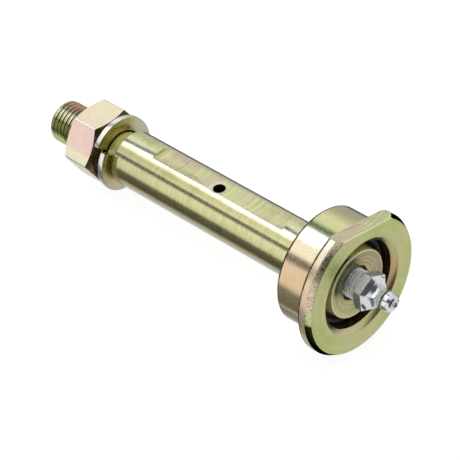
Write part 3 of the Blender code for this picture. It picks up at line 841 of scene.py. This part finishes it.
@dataclass
class TurnedPin(Piece):
    """The pin itself: threaded end, shank, collar, flange, groove, boss and drilled ways."""

    thread_root: float = 5.95
    thread_end: float = -30.6
    thread_stop: float = -4.4
    neck: float = 6.95
    neck_start: float = 5.0
    shank: float = 9.0
    shank_length: float = 80.0
    shank_chamfer: float = 0.95
    shank_rounding: float = 0.15
    shank_fillet: float = 0.3
    collar: float = 18.7
    collar_length: float = 12.2
    # How far the painted ring of shade runs from each step
    painted_shade_width: float = 1.05
    flange: float = 22.95
    flange_land: float = 2.9
    bevel_length: float = 1.8
    bevel_depth: float = 1.05
    rear_chamfer: float = 0.65
    seam: float = 0.2
    groove_outer: float = 14.3
    groove_depth: float = 5.5
    groove_floor: float = 1.55
    groove_chamfer: float = 1.45
    boss: float = 11.2
    boss_drop: float = 1.75
    boss_rounding: float = 0.5
    dish: float = 0.6
    dish_edge: float = 6.0
    port_mouth: float = 5.5
    port: float = 4.9
    gallery: float = 2.25
    lock_flat: float = 19.55
    lock_flat_turn: float = -12.0
    oil_flat: float = 8.35
    oil_flat_turn: float = -3.0
    oil_flat_start: float = 13.9
    oil_flat_end: float = 68.5
    lock_edge: float = 0.35
    oil_hole: float = 2.0
    oil_hole_x: float = 40.0
    oil_hole_turn: float = 1.5
    steps: int = 192

    @property
    def flange_rear(self) -> float:
        """Where the flange begins."""
        return self.shank_length + self.collar_length

    @property
    def face(self) -> float:
        """Where the head's face lies."""
        return self.flange_rear + self.flange_land + self.bevel_length

    def profile(self) -> list[Point]:
        """Returns the outline from the neck under the washer to the end of the gallery."""
        face = self.face
        edge = self.rear_chamfer
        seam = self.seam
        outer = self.groove_outer
        floor = self.groove_floor
        soft = self.boss_rounding
        rim = face - self.boss_drop
        dish = rim - self.dish
        return [
            (self.thread_stop - 2.0, self.neck_start),
            (self.thread_stop, self.neck - 0.15),
            (self.thread_stop + 0.2, self.neck),
            (0.0, self.neck),
            (0.0, self.shank - self.shank_chamfer),
            *arc((self.shank_chamfer, self.shank - self.shank_rounding), self.shank_rounding, 135, 90, 2),
            *arc((self.shank_length - self.shank_fillet, self.shank + self.shank_fillet),
                 self.shank_fillet, -90, 0, 4),
            *self.stepped_edge(self.shank_length, self.collar, edge),
            (self.flange_rear - seam, self.collar),
            (self.flange_rear - seam / 2, self.collar - seam),
            (self.flange_rear, self.collar - seam),
            *self.stepped_edge(self.flange_rear, self.flange, edge),
            (self.flange_rear + self.flange_land - 0.08, self.flange),
            (self.flange_rear + self.flange_land + 0.07, self.flange - 0.04),
            (face - 0.12, self.flange - self.bevel_depth + 0.05),
            (face, self.flange - self.bevel_depth - 0.1),
            (face, outer + 1.6),
            (face - 0.1, outer + self.groove_chamfer),
            (face - 1.4, outer + 0.12),
            (face - 1.6, outer),
            *arc((face - self.groove_depth + floor, outer - floor), floor, 90, 270, 12),
            *arc((rim - soft, self.boss - soft), soft, 90, 0, 5),
            (dish + 0.04, self.dish_edge),
            (dish, self.dish_edge - 0.1),
            (dish - 0.4, self.port_mouth),
            (dish - 2.4, self.port_mouth),
            (dish - 3.0, self.port),
            (dish - 10.5, self.port),
            (dish - 12.1, self.gallery),
            (self.oil_hole_x - self.gallery, self.gallery),
            (self.oil_hole_x - 3.5, 0.15),
        ]

    def stepped_edge(self, start: float, radius: float, edge: float) -> list[Point]:
        """Returns the chamfered rear edge of a step, up to where its painted ring of shade ends."""
        return [
            (start, radius - edge - 0.05),
            (start + 0.05, radius - edge),
            (start + edge, radius - 0.05),
            (start + edge + 0.05, radius),
            (start + self.painted_shade_width, radius),
        ]

    def threaded_end(self) -> bpy.types.Object:
        """Returns the threaded rod, with both its ends chamfered."""
        rod = ScrewThread(THREAD_PITCH, self.thread_root, THREAD_CREST,
                          self.thread_end - 0.5, self.thread_stop + 0.5).build("thread_rod")
        clear = THREAD_CREST + 0.5
        slope = clear - self.thread_root + 0.1
        envelope = turned("thread_envelope", [
            (self.thread_end, self.thread_root - 0.1),
            (self.thread_end + slope, clear),
            (self.thread_stop - slope, clear),
            (self.thread_stop, self.thread_root - 0.1),
        ], self.steps)
        combine(rod, envelope, Cut.SHARED)
        return rod

    def cut_lock_flat(self, pin: bpy.types.Object) -> None:
        """Mills the flange's flat and breaks its front edge."""
        reach = 60.0
        tool = block("lock_flat_tool", (self.flange_rear - 0.05, -reach, self.lock_flat),
                     (self.face + 5, reach, reach))
        turn_piece(tool, self.lock_flat_turn)
        combine(pin, tool, Cut.AWAY)
        tool = block("lock_edge_tool", (-reach, -reach, 0.0), (reach, reach, reach))
        tool.data.transform(Matrix.Rotation(math.pi / 4, 4, "Y"))
        tool.data.transform(Matrix.Translation(((self.face - self.lock_edge) * MM, 0,
                                                self.lock_flat * MM)))
        turn_piece(tool, self.lock_flat_turn)
        combine(pin, tool, Cut.AWAY)

    def cut_oil_flat(self, pin: bpy.types.Object) -> None:
        """Mills the grease flat and drills the oil hole with its countersink."""
        tool = block("oil_flat_tool", (self.oil_flat_start, -self.shank, self.oil_flat),
                     (self.oil_flat_end, self.shank, 3 * self.shank))
        turn_piece(tool, self.oil_flat_turn)
        combine(pin, tool, Cut.AWAY)
        tool = turned("oil_hole_tool", [
            (0.0, self.oil_hole),
            (self.oil_flat - 0.5, self.oil_hole),
            (self.oil_flat - 0.4, self.oil_hole + 0.1),
            (self.oil_flat + 0.8, self.oil_hole + 2.3),
        ], 48)
        tool.data.transform(Matrix.Translation((self.oil_hole_x * MM, 0, 0))
                            @ Matrix.Rotation(math.radians(self.oil_hole_turn), 4, "X")
                            @ Matrix.Rotation(-math.pi / 2, 4, "Y"))
        combine(pin, tool, Cut.AWAY)

    def milled(self, polygon: bpy.types.MeshPolygon) -> bool:
        """Says whether a face lies on the flange's flat or on the grease flat."""
        x = polygon.center.x / MM
        flats = (
            (self.lock_flat_turn, self.lock_flat, self.flange_rear, self.face),
            (self.oil_flat_turn, self.oil_flat, self.oil_flat_start, self.oil_flat_end),
        )
        for turn, height, start, end in flats:
            upward = Matrix.Rotation(math.radians(turn), 3, "X") @ Vector((0, 0, 1))
            reach = upward.dot(polygon.center / MM)
            if start < x < end and polygon.normal.dot(upward) > 0.999 and abs(reach - height) < 0.02:
                return True
        return False

    def region(self, polygon: bpy.types.MeshPolygon) -> bpy.types.Material:
        """Says which finish a face has, by its place on the axis."""
        x, side, up = polygon.center / MM
        radius = math.hypot(side, up)
        if self.milled(polygon):
            return self.finishes.milled
        if polygon.normal.x < -0.9 and (x < self.thread_stop or x > self.shank_length - 0.01):
            return self.finishes.face
        if x < self.thread_stop:
            return self.finishes.thread
        if x < 0.0:
            return self.finishes.neck
        # The oil hole: painted highlight on its countersink, painted shade down its bore
        if abs(x - self.oil_hole_x) < 3.2 and radius < self.oil_flat + 0.4:
            from_hole = math.hypot(x - self.oil_hole_x, side + up * math.tan(
                math.radians(self.oil_hole_turn)))
            if from_hole < 2.9:
                return self.finishes.countersink_highlight if from_hole > self.oil_hole + 0.02 else self.finishes.bore
        if x < self.shank_length - 0.01 and radius < self.shank + 0.01:
            return self.finishes.shank
        # The broken edge of the flange's flat gets the painted highlight
        if polygon.normal.x > 0.6 and polygon.normal.z > 0.6 and radius > self.lock_flat - 1.0:
            return self.finishes.rim
        return self.head_region(x, radius)

    def head_region(self, x: float, radius: float) -> bpy.types.Material:
        """Says which finish the head has at a place on the axis and a radius from it."""
        if x > self.face - 0.04:
            return self.finishes.face
        for start, outside in ((self.shank_length, self.collar), (self.flange_rear, self.flange)):
            # The painted ring of shade at the foot of each step
            if radius > outside - 0.75 and start < x < start + self.painted_shade_width:
                return self.finishes.edge
        if radius > self.flange - self.bevel_depth - 0.4 and x > self.face - self.bevel_length:
            return self.finishes.bevel
        if radius > self.collar + 0.1:
            return self.finishes.flange
        if radius > self.groove_outer + 1.6:
            return self.finishes.collar
        if radius > self.groove_outer - 0.02 and x > self.face - 1.65:
            return self.finishes.mouth
        # The boss's rounded rim gets the painted highlight
        if self.boss - 0.55 < radius < self.boss + 0.01 and x > self.face - 2.3:
            return self.finishes.rim
        if self.boss - 0.2 < radius < self.boss + 0.8 and x < self.face - 2.2:
            return self.finishes.boss_wall
        return self.finishes.groove if radius > self.boss - 0.1 else self.finishes.boss

    def dress(self, pin: bpy.types.Object) -> None:
        """Gives each face of the pin its finish."""
        slots: dict[str, int] = {}
        for polygon in pin.data.polygons:
            finish = self.region(polygon)
            if finish.name not in slots:
                slots[finish.name] = len(slots)
                pin.data.materials.append(finish)
            polygon.material_index = slots[finish.name]

    def make(self) -> bpy.types.Object:
        """Makes the pin.

        Returns:
            The finished piece, laid in its place.
        """
        pin = turned("pin_turned", self.profile(), self.steps)
        combine(pin, self.threaded_end(), Cut.JOINED)
        self.cut_lock_flat(pin)
        self.cut_oil_flat(pin)
        smooth(pin, 24)
        self.dress(pin)
        self.settle(pin, "pin", "pin_body", "yellow_zinc")
        return pin


@dataclass
class HexNut(Piece):
    """The hexagon nut, chamfered at both ends, with its thread."""

    flats: float = 22.0
    outer_face: float = -18.047
    inner_face: float = -6.547
    corner_bevel: float = 0.4
    chamfer_ratio: float = 0.95
    thread_root: float = 6.05
    thread_gap: float = 0.1
    mouth: float = 7.6
    mouth_depth: float = 1.7
    mouth_end: float = 5.9
    steps: int = 144

    def blank(self) -> bpy.types.Object:
        """Returns the hexagon with its long edges broken and both its ends chamfered."""
        clear_selection()
        corner = self.flats / 2 / math.cos(math.pi / 6)
        height = self.inner_face - self.outer_face
        middle = (self.inner_face + self.outer_face) / 2
        bpy.ops.mesh.primitive_cylinder_add(
            vertices=6, radius=corner * MM, depth=(height + 1.0) * MM,
            location=(middle * MM, 0, 0), rotation=(0, math.pi / 2, 0))
        nut = named("nut_threaded")
        bpy.ops.object.transform_apply(location=True, rotation=True, scale=True)
        top = max(vert.co.z for vert in nut.data.vertices) / MM
        if abs(top - corner) < 0.01:
            turn_piece(nut, 30)
        along = edge_angle_picker(nut, 40, lambda point: True)
        break_edges(nut, lambda a, b: along(a, b) and abs(a.x - b.x) > 1, self.corner_bevel, 3)
        end = self.flats / 2 * self.chamfer_ratio
        clear = corner + 0.6
        slope = (clear - end) * math.tan(math.radians(30))
        guide = turned("nut_chamfer_tool", [
            (self.outer_face, end),
            (self.outer_face + slope, clear),
            (self.inner_face - slope, clear),
            (self.inner_face, end),
        ], self.steps)
        combine(nut, guide, Cut.SHARED)
        return nut

    def thread_tool(self) -> bpy.types.Object:
        """Returns the tap that cuts the thread and opens a cone at both ends of it."""
        bore = ScrewThread(THREAD_PITCH, self.thread_root + self.thread_gap,
                           THREAD_CREST + self.thread_gap, self.outer_face - 1.5,
                           self.inner_face + 1.5).build("nut_thread_tool")
        for face, outward in ((self.outer_face, -1.0), (self.inner_face, 1.0)):
            cone = [(face - outward * self.mouth_depth, self.mouth_end), (face, self.mouth),
                    (face + outward * 1.0, self.mouth + 1.0)]
            combine(bore, turned("nut_mouth_tool", cone if outward > 0 else cone[::-1], self.steps),
                    Cut.JOINED)
        return bore

    def make(self) -> bpy.types.Object:
        """Makes the nut.

        Returns:
            The finished piece, laid in its place.
        """
        nut = self.blank()
        combine(nut, self.thread_tool(), Cut.AWAY)
        smooth(nut, 24)
        nut.data.materials.append(self.finishes.nut)
        nut.data.materials.append(self.finishes.nut_inner_end_shade)
        # Faces towards the washer get the painted shade
        for polygon in nut.data.polygons:
            polygon.material_index = int(polygon.normal.x > 0.3)
        self.settle(nut, "hex_nut", "nut_body", "nut_zinc")
        return nut


@dataclass
class SpringWasher(Piece):
    """The split spring washer, one left-hand turn with rounded edges."""

    inner: float = 7.45
    outer: float = 11.95
    thickness: float = 2.5
    rise: float = 3.4
    front: float = -0.33
    drop: float = 0.2
    lean: float = 3.5
    lean_turn: float = -76.0
    split_turn: float = 52.5
    split_angle: float = 3.5
    edge: float = 0.6
    steps: int = 144

    def section(self) -> bpy.types.Object:
        """Returns the wire's section as a loop of edges with rounded corners."""
        clear_selection()
        width = self.outer - self.inner
        middle = (self.outer + self.inner) / 2
        bpy.ops.mesh.primitive_plane_add(size=1.0, location=(0, 0, 0), rotation=(math.pi / 2, 0, 0))
        washer = named("spring_washer")
        bpy.ops.object.transform_apply(location=True, rotation=True, scale=True)
        bpy.ops.object.mode_set(mode="EDIT")
        bpy.ops.mesh.select_all(action="SELECT")
        bpy.ops.transform.resize(value=(self.thickness * MM, 1, width * MM), center_override=(0, 0, 0))
        bpy.ops.transform.translate(value=(0, 0, middle * MM))
        bpy.ops.mesh.bevel(offset=self.edge * MM, segments=4, affect="VERTICES")
        bpy.ops.mesh.delete(type="ONLY_FACE")
        bpy.ops.object.mode_set(mode="OBJECT")
        return washer

    def hang(self, washer: bpy.types.Object) -> None:
        """Leans the washer against the nut and lets it hang on the thread."""
        slope = math.tan(math.radians(self.lean))
        turn = math.radians(self.lean_turn)
        shear = Matrix.Identity(4)
        shear[0][1] = slope * math.sin(turn)
        shear[0][2] = -slope * math.cos(turn)
        washer.data.transform(shear)
        front = max(vert.co.x for vert in washer.data.vertices)
        washer.data.transform(Matrix.Translation((self.front * MM - front, 0, -self.drop * MM)))

    def make(self) -> bpy.types.Object:
        """Makes the washer.

        Returns:
            The finished piece, laid in its place.
        """
        washer = self.section()
        screw = washer.modifiers.new("turn", "SCREW")
        screw.axis = "X"
        screw.angle = -math.radians(360 - self.split_angle)
        screw.screw_offset = self.rise * MM
        screw.steps = self.steps
        screw.render_steps = self.steps
        screw.use_merge_vertices = False
        bpy.ops.object.modifier_apply(modifier=screw.name)
        close_ends()
        turn_piece(washer, self.split_turn - self.split_angle / 2)
        self.hang(washer)
        smooth(washer, 40)
        washer.data.materials.append(self.finishes.washer)
        washer.data.materials.append(self.finishes.washer_face)
        for polygon in washer.data.polygons:
            polygon.material_index = int(abs(polygon.normal.x) > 0.45)
        self.settle(washer, "lock_washer", "washer_body", "washer_zinc")
        return washer


@dataclass
class GreaseNipple(Piece):
    """The grease nipple: threaded stem, hexagon, hollow six-sided taper and ball-shaped head."""

    hex_flats: float = 11.0
    hex_turn: float = 32.0
    hex_rear: float = 98.15
    hex_length: float = 2.95
    taper_length: float = 3.3
    hollow: float = 4.0
    hollow_width: float = 1.5
    neck: float = 2.8
    neck_length: float = 0.85
    head: float = 3.2
    tip: float = 2.3
    nose: float = 1.5
    nose_length: float = 0.6
    inlet: float = 0.85
    bore: float = 1.55
    bore_rear: float = 97.95
    stem_radius: float = 4.7
    stem_pitch: float = 1.0
    stem_depth: float = 0.55
    thread_length: float = 8.8
    steps: int = 96

    def hexagon(self) -> bpy.types.Object:
        """Returns the hexagon with its hollow taper, as one closed piece."""
        clear_selection()
        flat = self.hex_flats / 2
        corner = flat / math.cos(math.pi / 6)
        bpy.ops.mesh.primitive_circle_add(
            vertices=6, radius=corner * MM, fill_type="NGON",
            location=(self.hex_rear * MM, 0, 0), rotation=(0, math.pi / 2, 0))
        piece = named("nipple_hexagon")
        bpy.ops.object.transform_apply(location=True, rotation=True, scale=True)
        top = max(vert.co.z for vert in piece.data.vertices) / MM
        turn_piece(piece, self.hex_turn + (30 if abs(top - corner) < 0.01 else 0))
        bpy.ops.object.mode_set(mode="EDIT")
        bpy.ops.mesh.select_all(action="SELECT")
        front = self.hex_rear + self.hex_length
        for step, ratio in ((self.hex_length, 1.0), (self.taper_length, self.neck / flat)):
            bpy.ops.mesh.extrude_region_move(TRANSFORM_OT_translate={"value": (step * MM, 0, 0)})
            bpy.ops.transform.resize(value=(1, ratio, ratio), center_override=(front * MM, 0, 0))
        tidy_shell()
        guide = turned("nipple_taper_tool", [
            (self.hex_rear, flat * 0.96),
            (self.hex_rear + 0.75, corner + 0.3),
            (front - 0.3, corner + 0.3),
            (front, corner),
            (front + self.taper_length + 0.02, self.neck - 0.01),
        ], self.steps)
        combine(piece, guide, Cut.SHARED)
        self.hollow_faces(piece)
        return piece

    def hollow_faces(self, piece: bpy.types.Object) -> None:
        """Grinds the six faces of the taper hollow with a wide ball."""
        rear = Vector((self.hex_rear + self.hex_length, self.hex_flats / 2))
        front = Vector((rear.x + self.taper_length, self.neck))
        chord = front - rear
        outward = Vector((-chord.y, chord.x)).normalized()
        rise = math.sqrt(self.hollow ** 2 - (chord.length / 2) ** 2)
        centre = (rear + front) / 2 + outward * rise
        for side in range(6):
            clear_selection()
            bpy.ops.mesh.primitive_uv_sphere_add(
                segments=96, ring_count=48, radius=self.hollow * MM,
                location=(centre.x * MM, 0, centre.y * MM))
            ball = named("nipple_hollow_tool")
            bpy.ops.transform.resize(value=(1, self.hollow_width, 1))
            bpy.ops.object.transform_apply(location=True, rotation=True, scale=True)
            turn_piece(ball, self.hex_turn + side * 60)
            combine(piece, ball, Cut.AWAY)

    def head_profile(self) -> list[Point]:
        """Returns the round outline from inside the taper to the tip, and down into its mouth."""
        neck_front = self.hex_rear + self.hex_length + self.taper_length + self.neck_length
        centre = neck_front + math.sqrt(self.head ** 2 - self.neck ** 2)
        start = 180 - math.degrees(math.asin(self.neck / self.head))
        end = math.degrees(math.asin(self.tip / self.head))
        ball = arc((centre, 0.0), self.head, start, end, 16)
        cone = ball[-1][0]
        tip = cone + self.nose_length
        return [
            (neck_front - self.neck_length - 0.9, self.neck - 0.5),
            (neck_front - self.neck_length - 0.3, self.neck - 0.01),
            *ball,
            (cone + 0.08, self.tip - 0.12),
            (cone + 0.25, self.nose + 0.05),
            (cone + 0.32, self.nose),
            (tip - 0.1, self.nose),
            (tip, self.nose - 0.12),
            (tip, self.inlet + 0.15),
            (tip - 0.15, self.inlet),
            (tip - 0.3, self.inlet),
            (tip - 1.15, self.bore),
            (self.bore_rear, self.bore),
            (self.bore_rear, self.inlet),
        ]

    def stem(self) -> bpy.types.Object:
        """Returns the threaded stem, chamfered at its end, with its drilled way."""
        start = self.hex_rear - self.thread_length
        crest = self.stem_radius
        root = crest - self.stem_depth
        rod = ScrewThread(self.stem_pitch, root, crest, start - 0.4, self.hex_rear + 0.6,
                          64).build("nipple_stem")
        envelope = turned("nipple_stem_tool", [
            (start, root - 0.2),
            (start + 0.7, crest + 0.15),
            (self.hex_rear - 1.0, crest + 0.15),
            (self.hex_rear - 0.35, root + 0.15),
            (self.hex_rear + 0.5, root + 0.15),
        ], self.steps)
        combine(rod, envelope, Cut.SHARED)
        return rod

    def dress(self, nipple: bpy.types.Object) -> None:
        """Gives the stem, the hexagon's sides and the neck finishes of their own."""
        nipple.data.materials.append(self.finishes.nipple)
        front = self.hex_rear + self.hex_length
        neck = front + self.taper_length
        for finish, start, end in (
                (self.finishes.nipple_stem, 0.0, self.hex_rear - 0.05),
                (self.finishes.nipple_sides, self.hex_rear - 0.05, front),
                (self.finishes.nipple_stem, neck - 0.4, neck + self.neck_length + 0.4)):
            nipple.data.materials.append(finish)
            for polygon in nipple.data.polygons:
                if start < polygon.center.x / MM < end:
                    polygon.material_index = len(nipple.data.materials) - 1

    def make(self) -> bpy.types.Object:
        """Makes the nipple.

        Returns:
            The finished piece, laid in its place.
        """
        nipple = self.hexagon()
        nipple.name = "nipple_turned"
        combine(nipple, self.stem(), Cut.JOINED)
        profile = self.head_profile()
        mouth_points = 6
        split = len(profile) - mouth_points
        head, mouth = profile[:split], profile[split:]
        way = [(mouth[0][0] + 0.15, mouth[0][1] + 0.15), *mouth,
               (self.hex_rear - self.thread_length - 1, self.inlet)]
        combine(nipple, turned("nipple_head", head, self.steps), Cut.JOINED)
        combine(nipple, turned("nipple_way_tool", way[::-1], 48), Cut.AWAY)
        smooth(nipple, 28)
        self.dress(nipple)
        self.settle(nipple, "grease_nipple", "pin_body", "bright_zinc")
        return nipple


@dataclass
class CoilSpring(Piece):
    """The left-hand coil spring behind the nipple's ball."""

    front: float = 107.004
    length: float = 9.0
    wire: float = 0.2
    coil: float = 0.98
    turns: int = 7
    steps: int = 28
    stroke: float = 1.0

    def make(self) -> bpy.types.Object:
        """Makes the spring.

        Returns:
            The finished piece, laid in its place.
        """
        clear_selection()
        bpy.ops.mesh.primitive_circle_add(
            vertices=12, radius=self.wire * MM, rotation=(math.pi / 2, 0, 0),
            location=((self.front - self.wire) * MM, 0, self.coil * MM))
        spring = named("spring_coiled")
        bpy.ops.object.transform_apply(location=True, rotation=True, scale=True)
        screw = spring.modifiers.new("coils", "SCREW")
        screw.axis = "X"
        screw.angle = math.tau
        screw.screw_offset = -(self.length - 2 * self.wire) / self.turns * MM
        screw.iterations = self.turns
        screw.steps = self.steps
        screw.render_steps = self.steps
        bpy.ops.object.modifier_apply(modifier=screw.name)
        close_ends()
        smooth(spring, 40)
        spring.data.materials.append(self.finishes.spring)
        self.settle(spring, "nipple_spring", "pin_body", "spring_steel")
        tuple(self.place.direction)
        tuple(self.place.point((self.front - self.length) * MM))
        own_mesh(spring)
        return spring


class Studio:
    """The floor, the light and the camera."""

    IMAGE = 460
    CAMERA_AZIMUTH = math.radians(43.2)
    CAMERA_ELEVATION = math.radians(45.2)
    CAMERA_DISTANCE = 0.703
    AIM = 60.0 * MM
    LENS_PIXELS = 2354.0
    SENSOR = 36.0
    AIM_PIXEL = (269.99, 234.90)
    BAND_START = 141.9
    FRONT = 0.8
    FRONT_RANGE = (0.05, 0.3)
    SHADE = 0.08
    DARK_DISC = (26.0, 16.0)
    DARK_ENDS = (0.74, 0.82)
    FLOOR_SIZE = 4.0
    FLOOR_TONE = 0.9
    FLOOR_GLOW = 1.2
    GLOW_SHARE = 0.75
    STRIPS = (
        (0, 0.10), (12, 0.12), (17, 0.5), (36, 0.62), (46, 0.95), (57, 1.0), (60.5, 0.2), (65, 0.2),
        (67.5, 1.7), (78, 1.7), (81, 1.05), (93.5, 1.15), (96, 0.2), (101, 0.2), (104, 1.05),
        (124, 0.95), (129, 0.2), (148, 0.12), (151.5, 0.55), (166, 0.6), (170, 0.85), (177, 0.85),
        (180, 0.10),
    )

    def __init__(self, place: Place) -> None:
        """Keeps where the pin lies.

        Args:
            place: Where the pin's own axis lies.
        """
        self.place = place

    def toward_camera(self) -> Vector:
        """Returns the direction from the pin to the camera."""
        azimuth, elevation = self.CAMERA_AZIMUTH, self.CAMERA_ELEVATION
        return Vector((math.sin(azimuth) * math.cos(elevation),
                       -math.cos(azimuth) * math.cos(elevation),
                       math.sin(elevation)))

    def camera(self) -> None:
        """Stands the camera at the photograph's viewing angle."""
        clear_selection()
        back = self.toward_camera()
        bpy.ops.object.camera_add(location=self.place.point(self.AIM) + back * self.CAMERA_DISTANCE)
        camera = bpy.context.object
        camera.name = "camera"
        camera.rotation_euler = back.to_track_quat("Z", "Y").to_euler()
        camera.data.sensor_width = self.SENSOR
        camera.data.lens = self.LENS_PIXELS * self.SENSOR / self.IMAGE
        camera.data.shift_x = (self.IMAGE / 2 - self.AIM_PIXEL[0]) / self.IMAGE
        camera.data.shift_y = (self.AIM_PIXEL[1] - self.IMAGE / 2) / self.IMAGE
        camera.data.clip_start = 0.01
        bpy.context.scene.camera = camera

    def floor(self) -> None:
        """Lays the pale floor that the pin lies on."""
        clear_selection()
        bpy.ops.mesh.primitive_plane_add(size=self.FLOOR_SIZE, location=(0, 0, 0))
        floor = named("floor")
        material = bpy.data.materials.new("pale_floor")
        sheet = Sheet(material)
        sheet.shader.inputs["Base Color"].default_value = (*(self.FLOOR_TONE,) * 3, 1.0)
        sheet.shader.inputs["Roughness"].default_value = 0.9
        path = sheet.node("ShaderNodeLightPath")
        glow = sheet.node("ShaderNodeEmission")
        glow.inputs["Strength"].default_value = self.FLOOR_GLOW
        mix = sheet.node("ShaderNodeMixShader")
        sheet.feed(mix.inputs[0], sheet.math("MULTIPLY", path.outputs["Is Camera Ray"],
                                             self.GLOW_SHARE))
        sheet.feed(mix.inputs[1], sheet.shader.outputs[0])
        sheet.feed(mix.inputs[2], glow.outputs[0])
        output = sheet.tree.nodes["Material Output"]
        sheet.feed(output.inputs["Surface"], mix.outputs[0])
        floor.data.materials.append(material)
        floor.visible_glossy = False

    def light(self) -> None:
        """Sets up strip lights along the pin with dark flags between them, as the metal sees them."""
        world = bpy.data.worlds.new("studio")
        bpy.context.scene.world = world
        sheet = Sheet(world)
        source = sheet.node("ShaderNodeTexCoord")
        direction = source.outputs["Generated"]
        along_pin = sheet.node("ShaderNodeMapping", vector_type="TEXTURE")
        sheet.feed(along_pin.inputs["Vector"], direction)
        along_pin.inputs["Rotation"].default_value = self.place.turn()
        parts = sheet.node("ShaderNodeSeparateXYZ")
        sheet.feed(parts.inputs[0], along_pin.outputs[0])
        along, side, up = parts.outputs
        turn = sheet.math("DIVIDE", sheet.math("ARCTAN2", sheet.math("MULTIPLY", side, -1.0), up),
                          math.tau)
        band = sheet.math("FRACT", sheet.math("ADD", turn, self.BAND_START / 360))
        room = sheet.ramp(band, [(place / 180, (level,) * 3) for place, level in self.STRIPS])
        facing = sheet.node("ShaderNodeVectorMath", operation="DOT_PRODUCT")
        sheet.feed(facing.inputs[0], direction)
        facing.inputs[1].default_value = self.toward_camera()
        disc = [math.cos(math.radians(degrees)) for degrees in self.DARK_DISC]
        front = sheet.spread(facing.outputs["Value"], *disc, self.FRONT, self.SHADE)
        lit = sheet.blend(sheet.spread(along, *self.FRONT_RANGE), room,
                          sheet.combine(front, front, front))
        shade = (self.SHADE,) * 3 + (1.0,)
        ends = sheet.spread(sheet.math("ABSOLUTE", along), *self.DARK_ENDS)
        lit = sheet.blend(ends, lit, shade)
        path = sheet.node("ShaderNodeLightPath")
        seen = sheet.blend(path.outputs["Is Camera Ray"], lit, (1.0, 1.0, 1.0, 1.0))
        background = sheet.tree.nodes["Background"]
        sheet.feed(background.inputs["Color"], seen)
        background.inputs["Strength"].default_value = 1.0

    def build(self) -> None:
        """Makes the whole studio."""
        self.camera()
        self.floor()
        self.light()
        bpy.context.scene.view_settings.view_transform = "Standard"


def dress_node(name: str, finish: bpy.types.Material) -> None:
    """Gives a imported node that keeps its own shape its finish."""
    node = frame["nodes"][name]
    node.data.materials.clear()
    node.data.materials.append(finish)
    LOG.info("%s: keeps its packed shape", name)


def main() -> None:
    """Builds the pieces in order and reports each one."""
    logging.basicConfig(level=logging.INFO, format="%(message)s")
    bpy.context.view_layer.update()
    place = Place(frame["joints"])
    Studio(place).build()
    finishes = Finishes(place)
    TurnedPin(place, finishes).make()
    HexNut(place, finishes).make()
    SpringWasher(place, finishes).make()
    GreaseNipple(place, finishes).make()
    dress_node("check_ball", finishes.ball)
    CoilSpring(place, finishes).make()


if __name__ == "__main__":
    main()
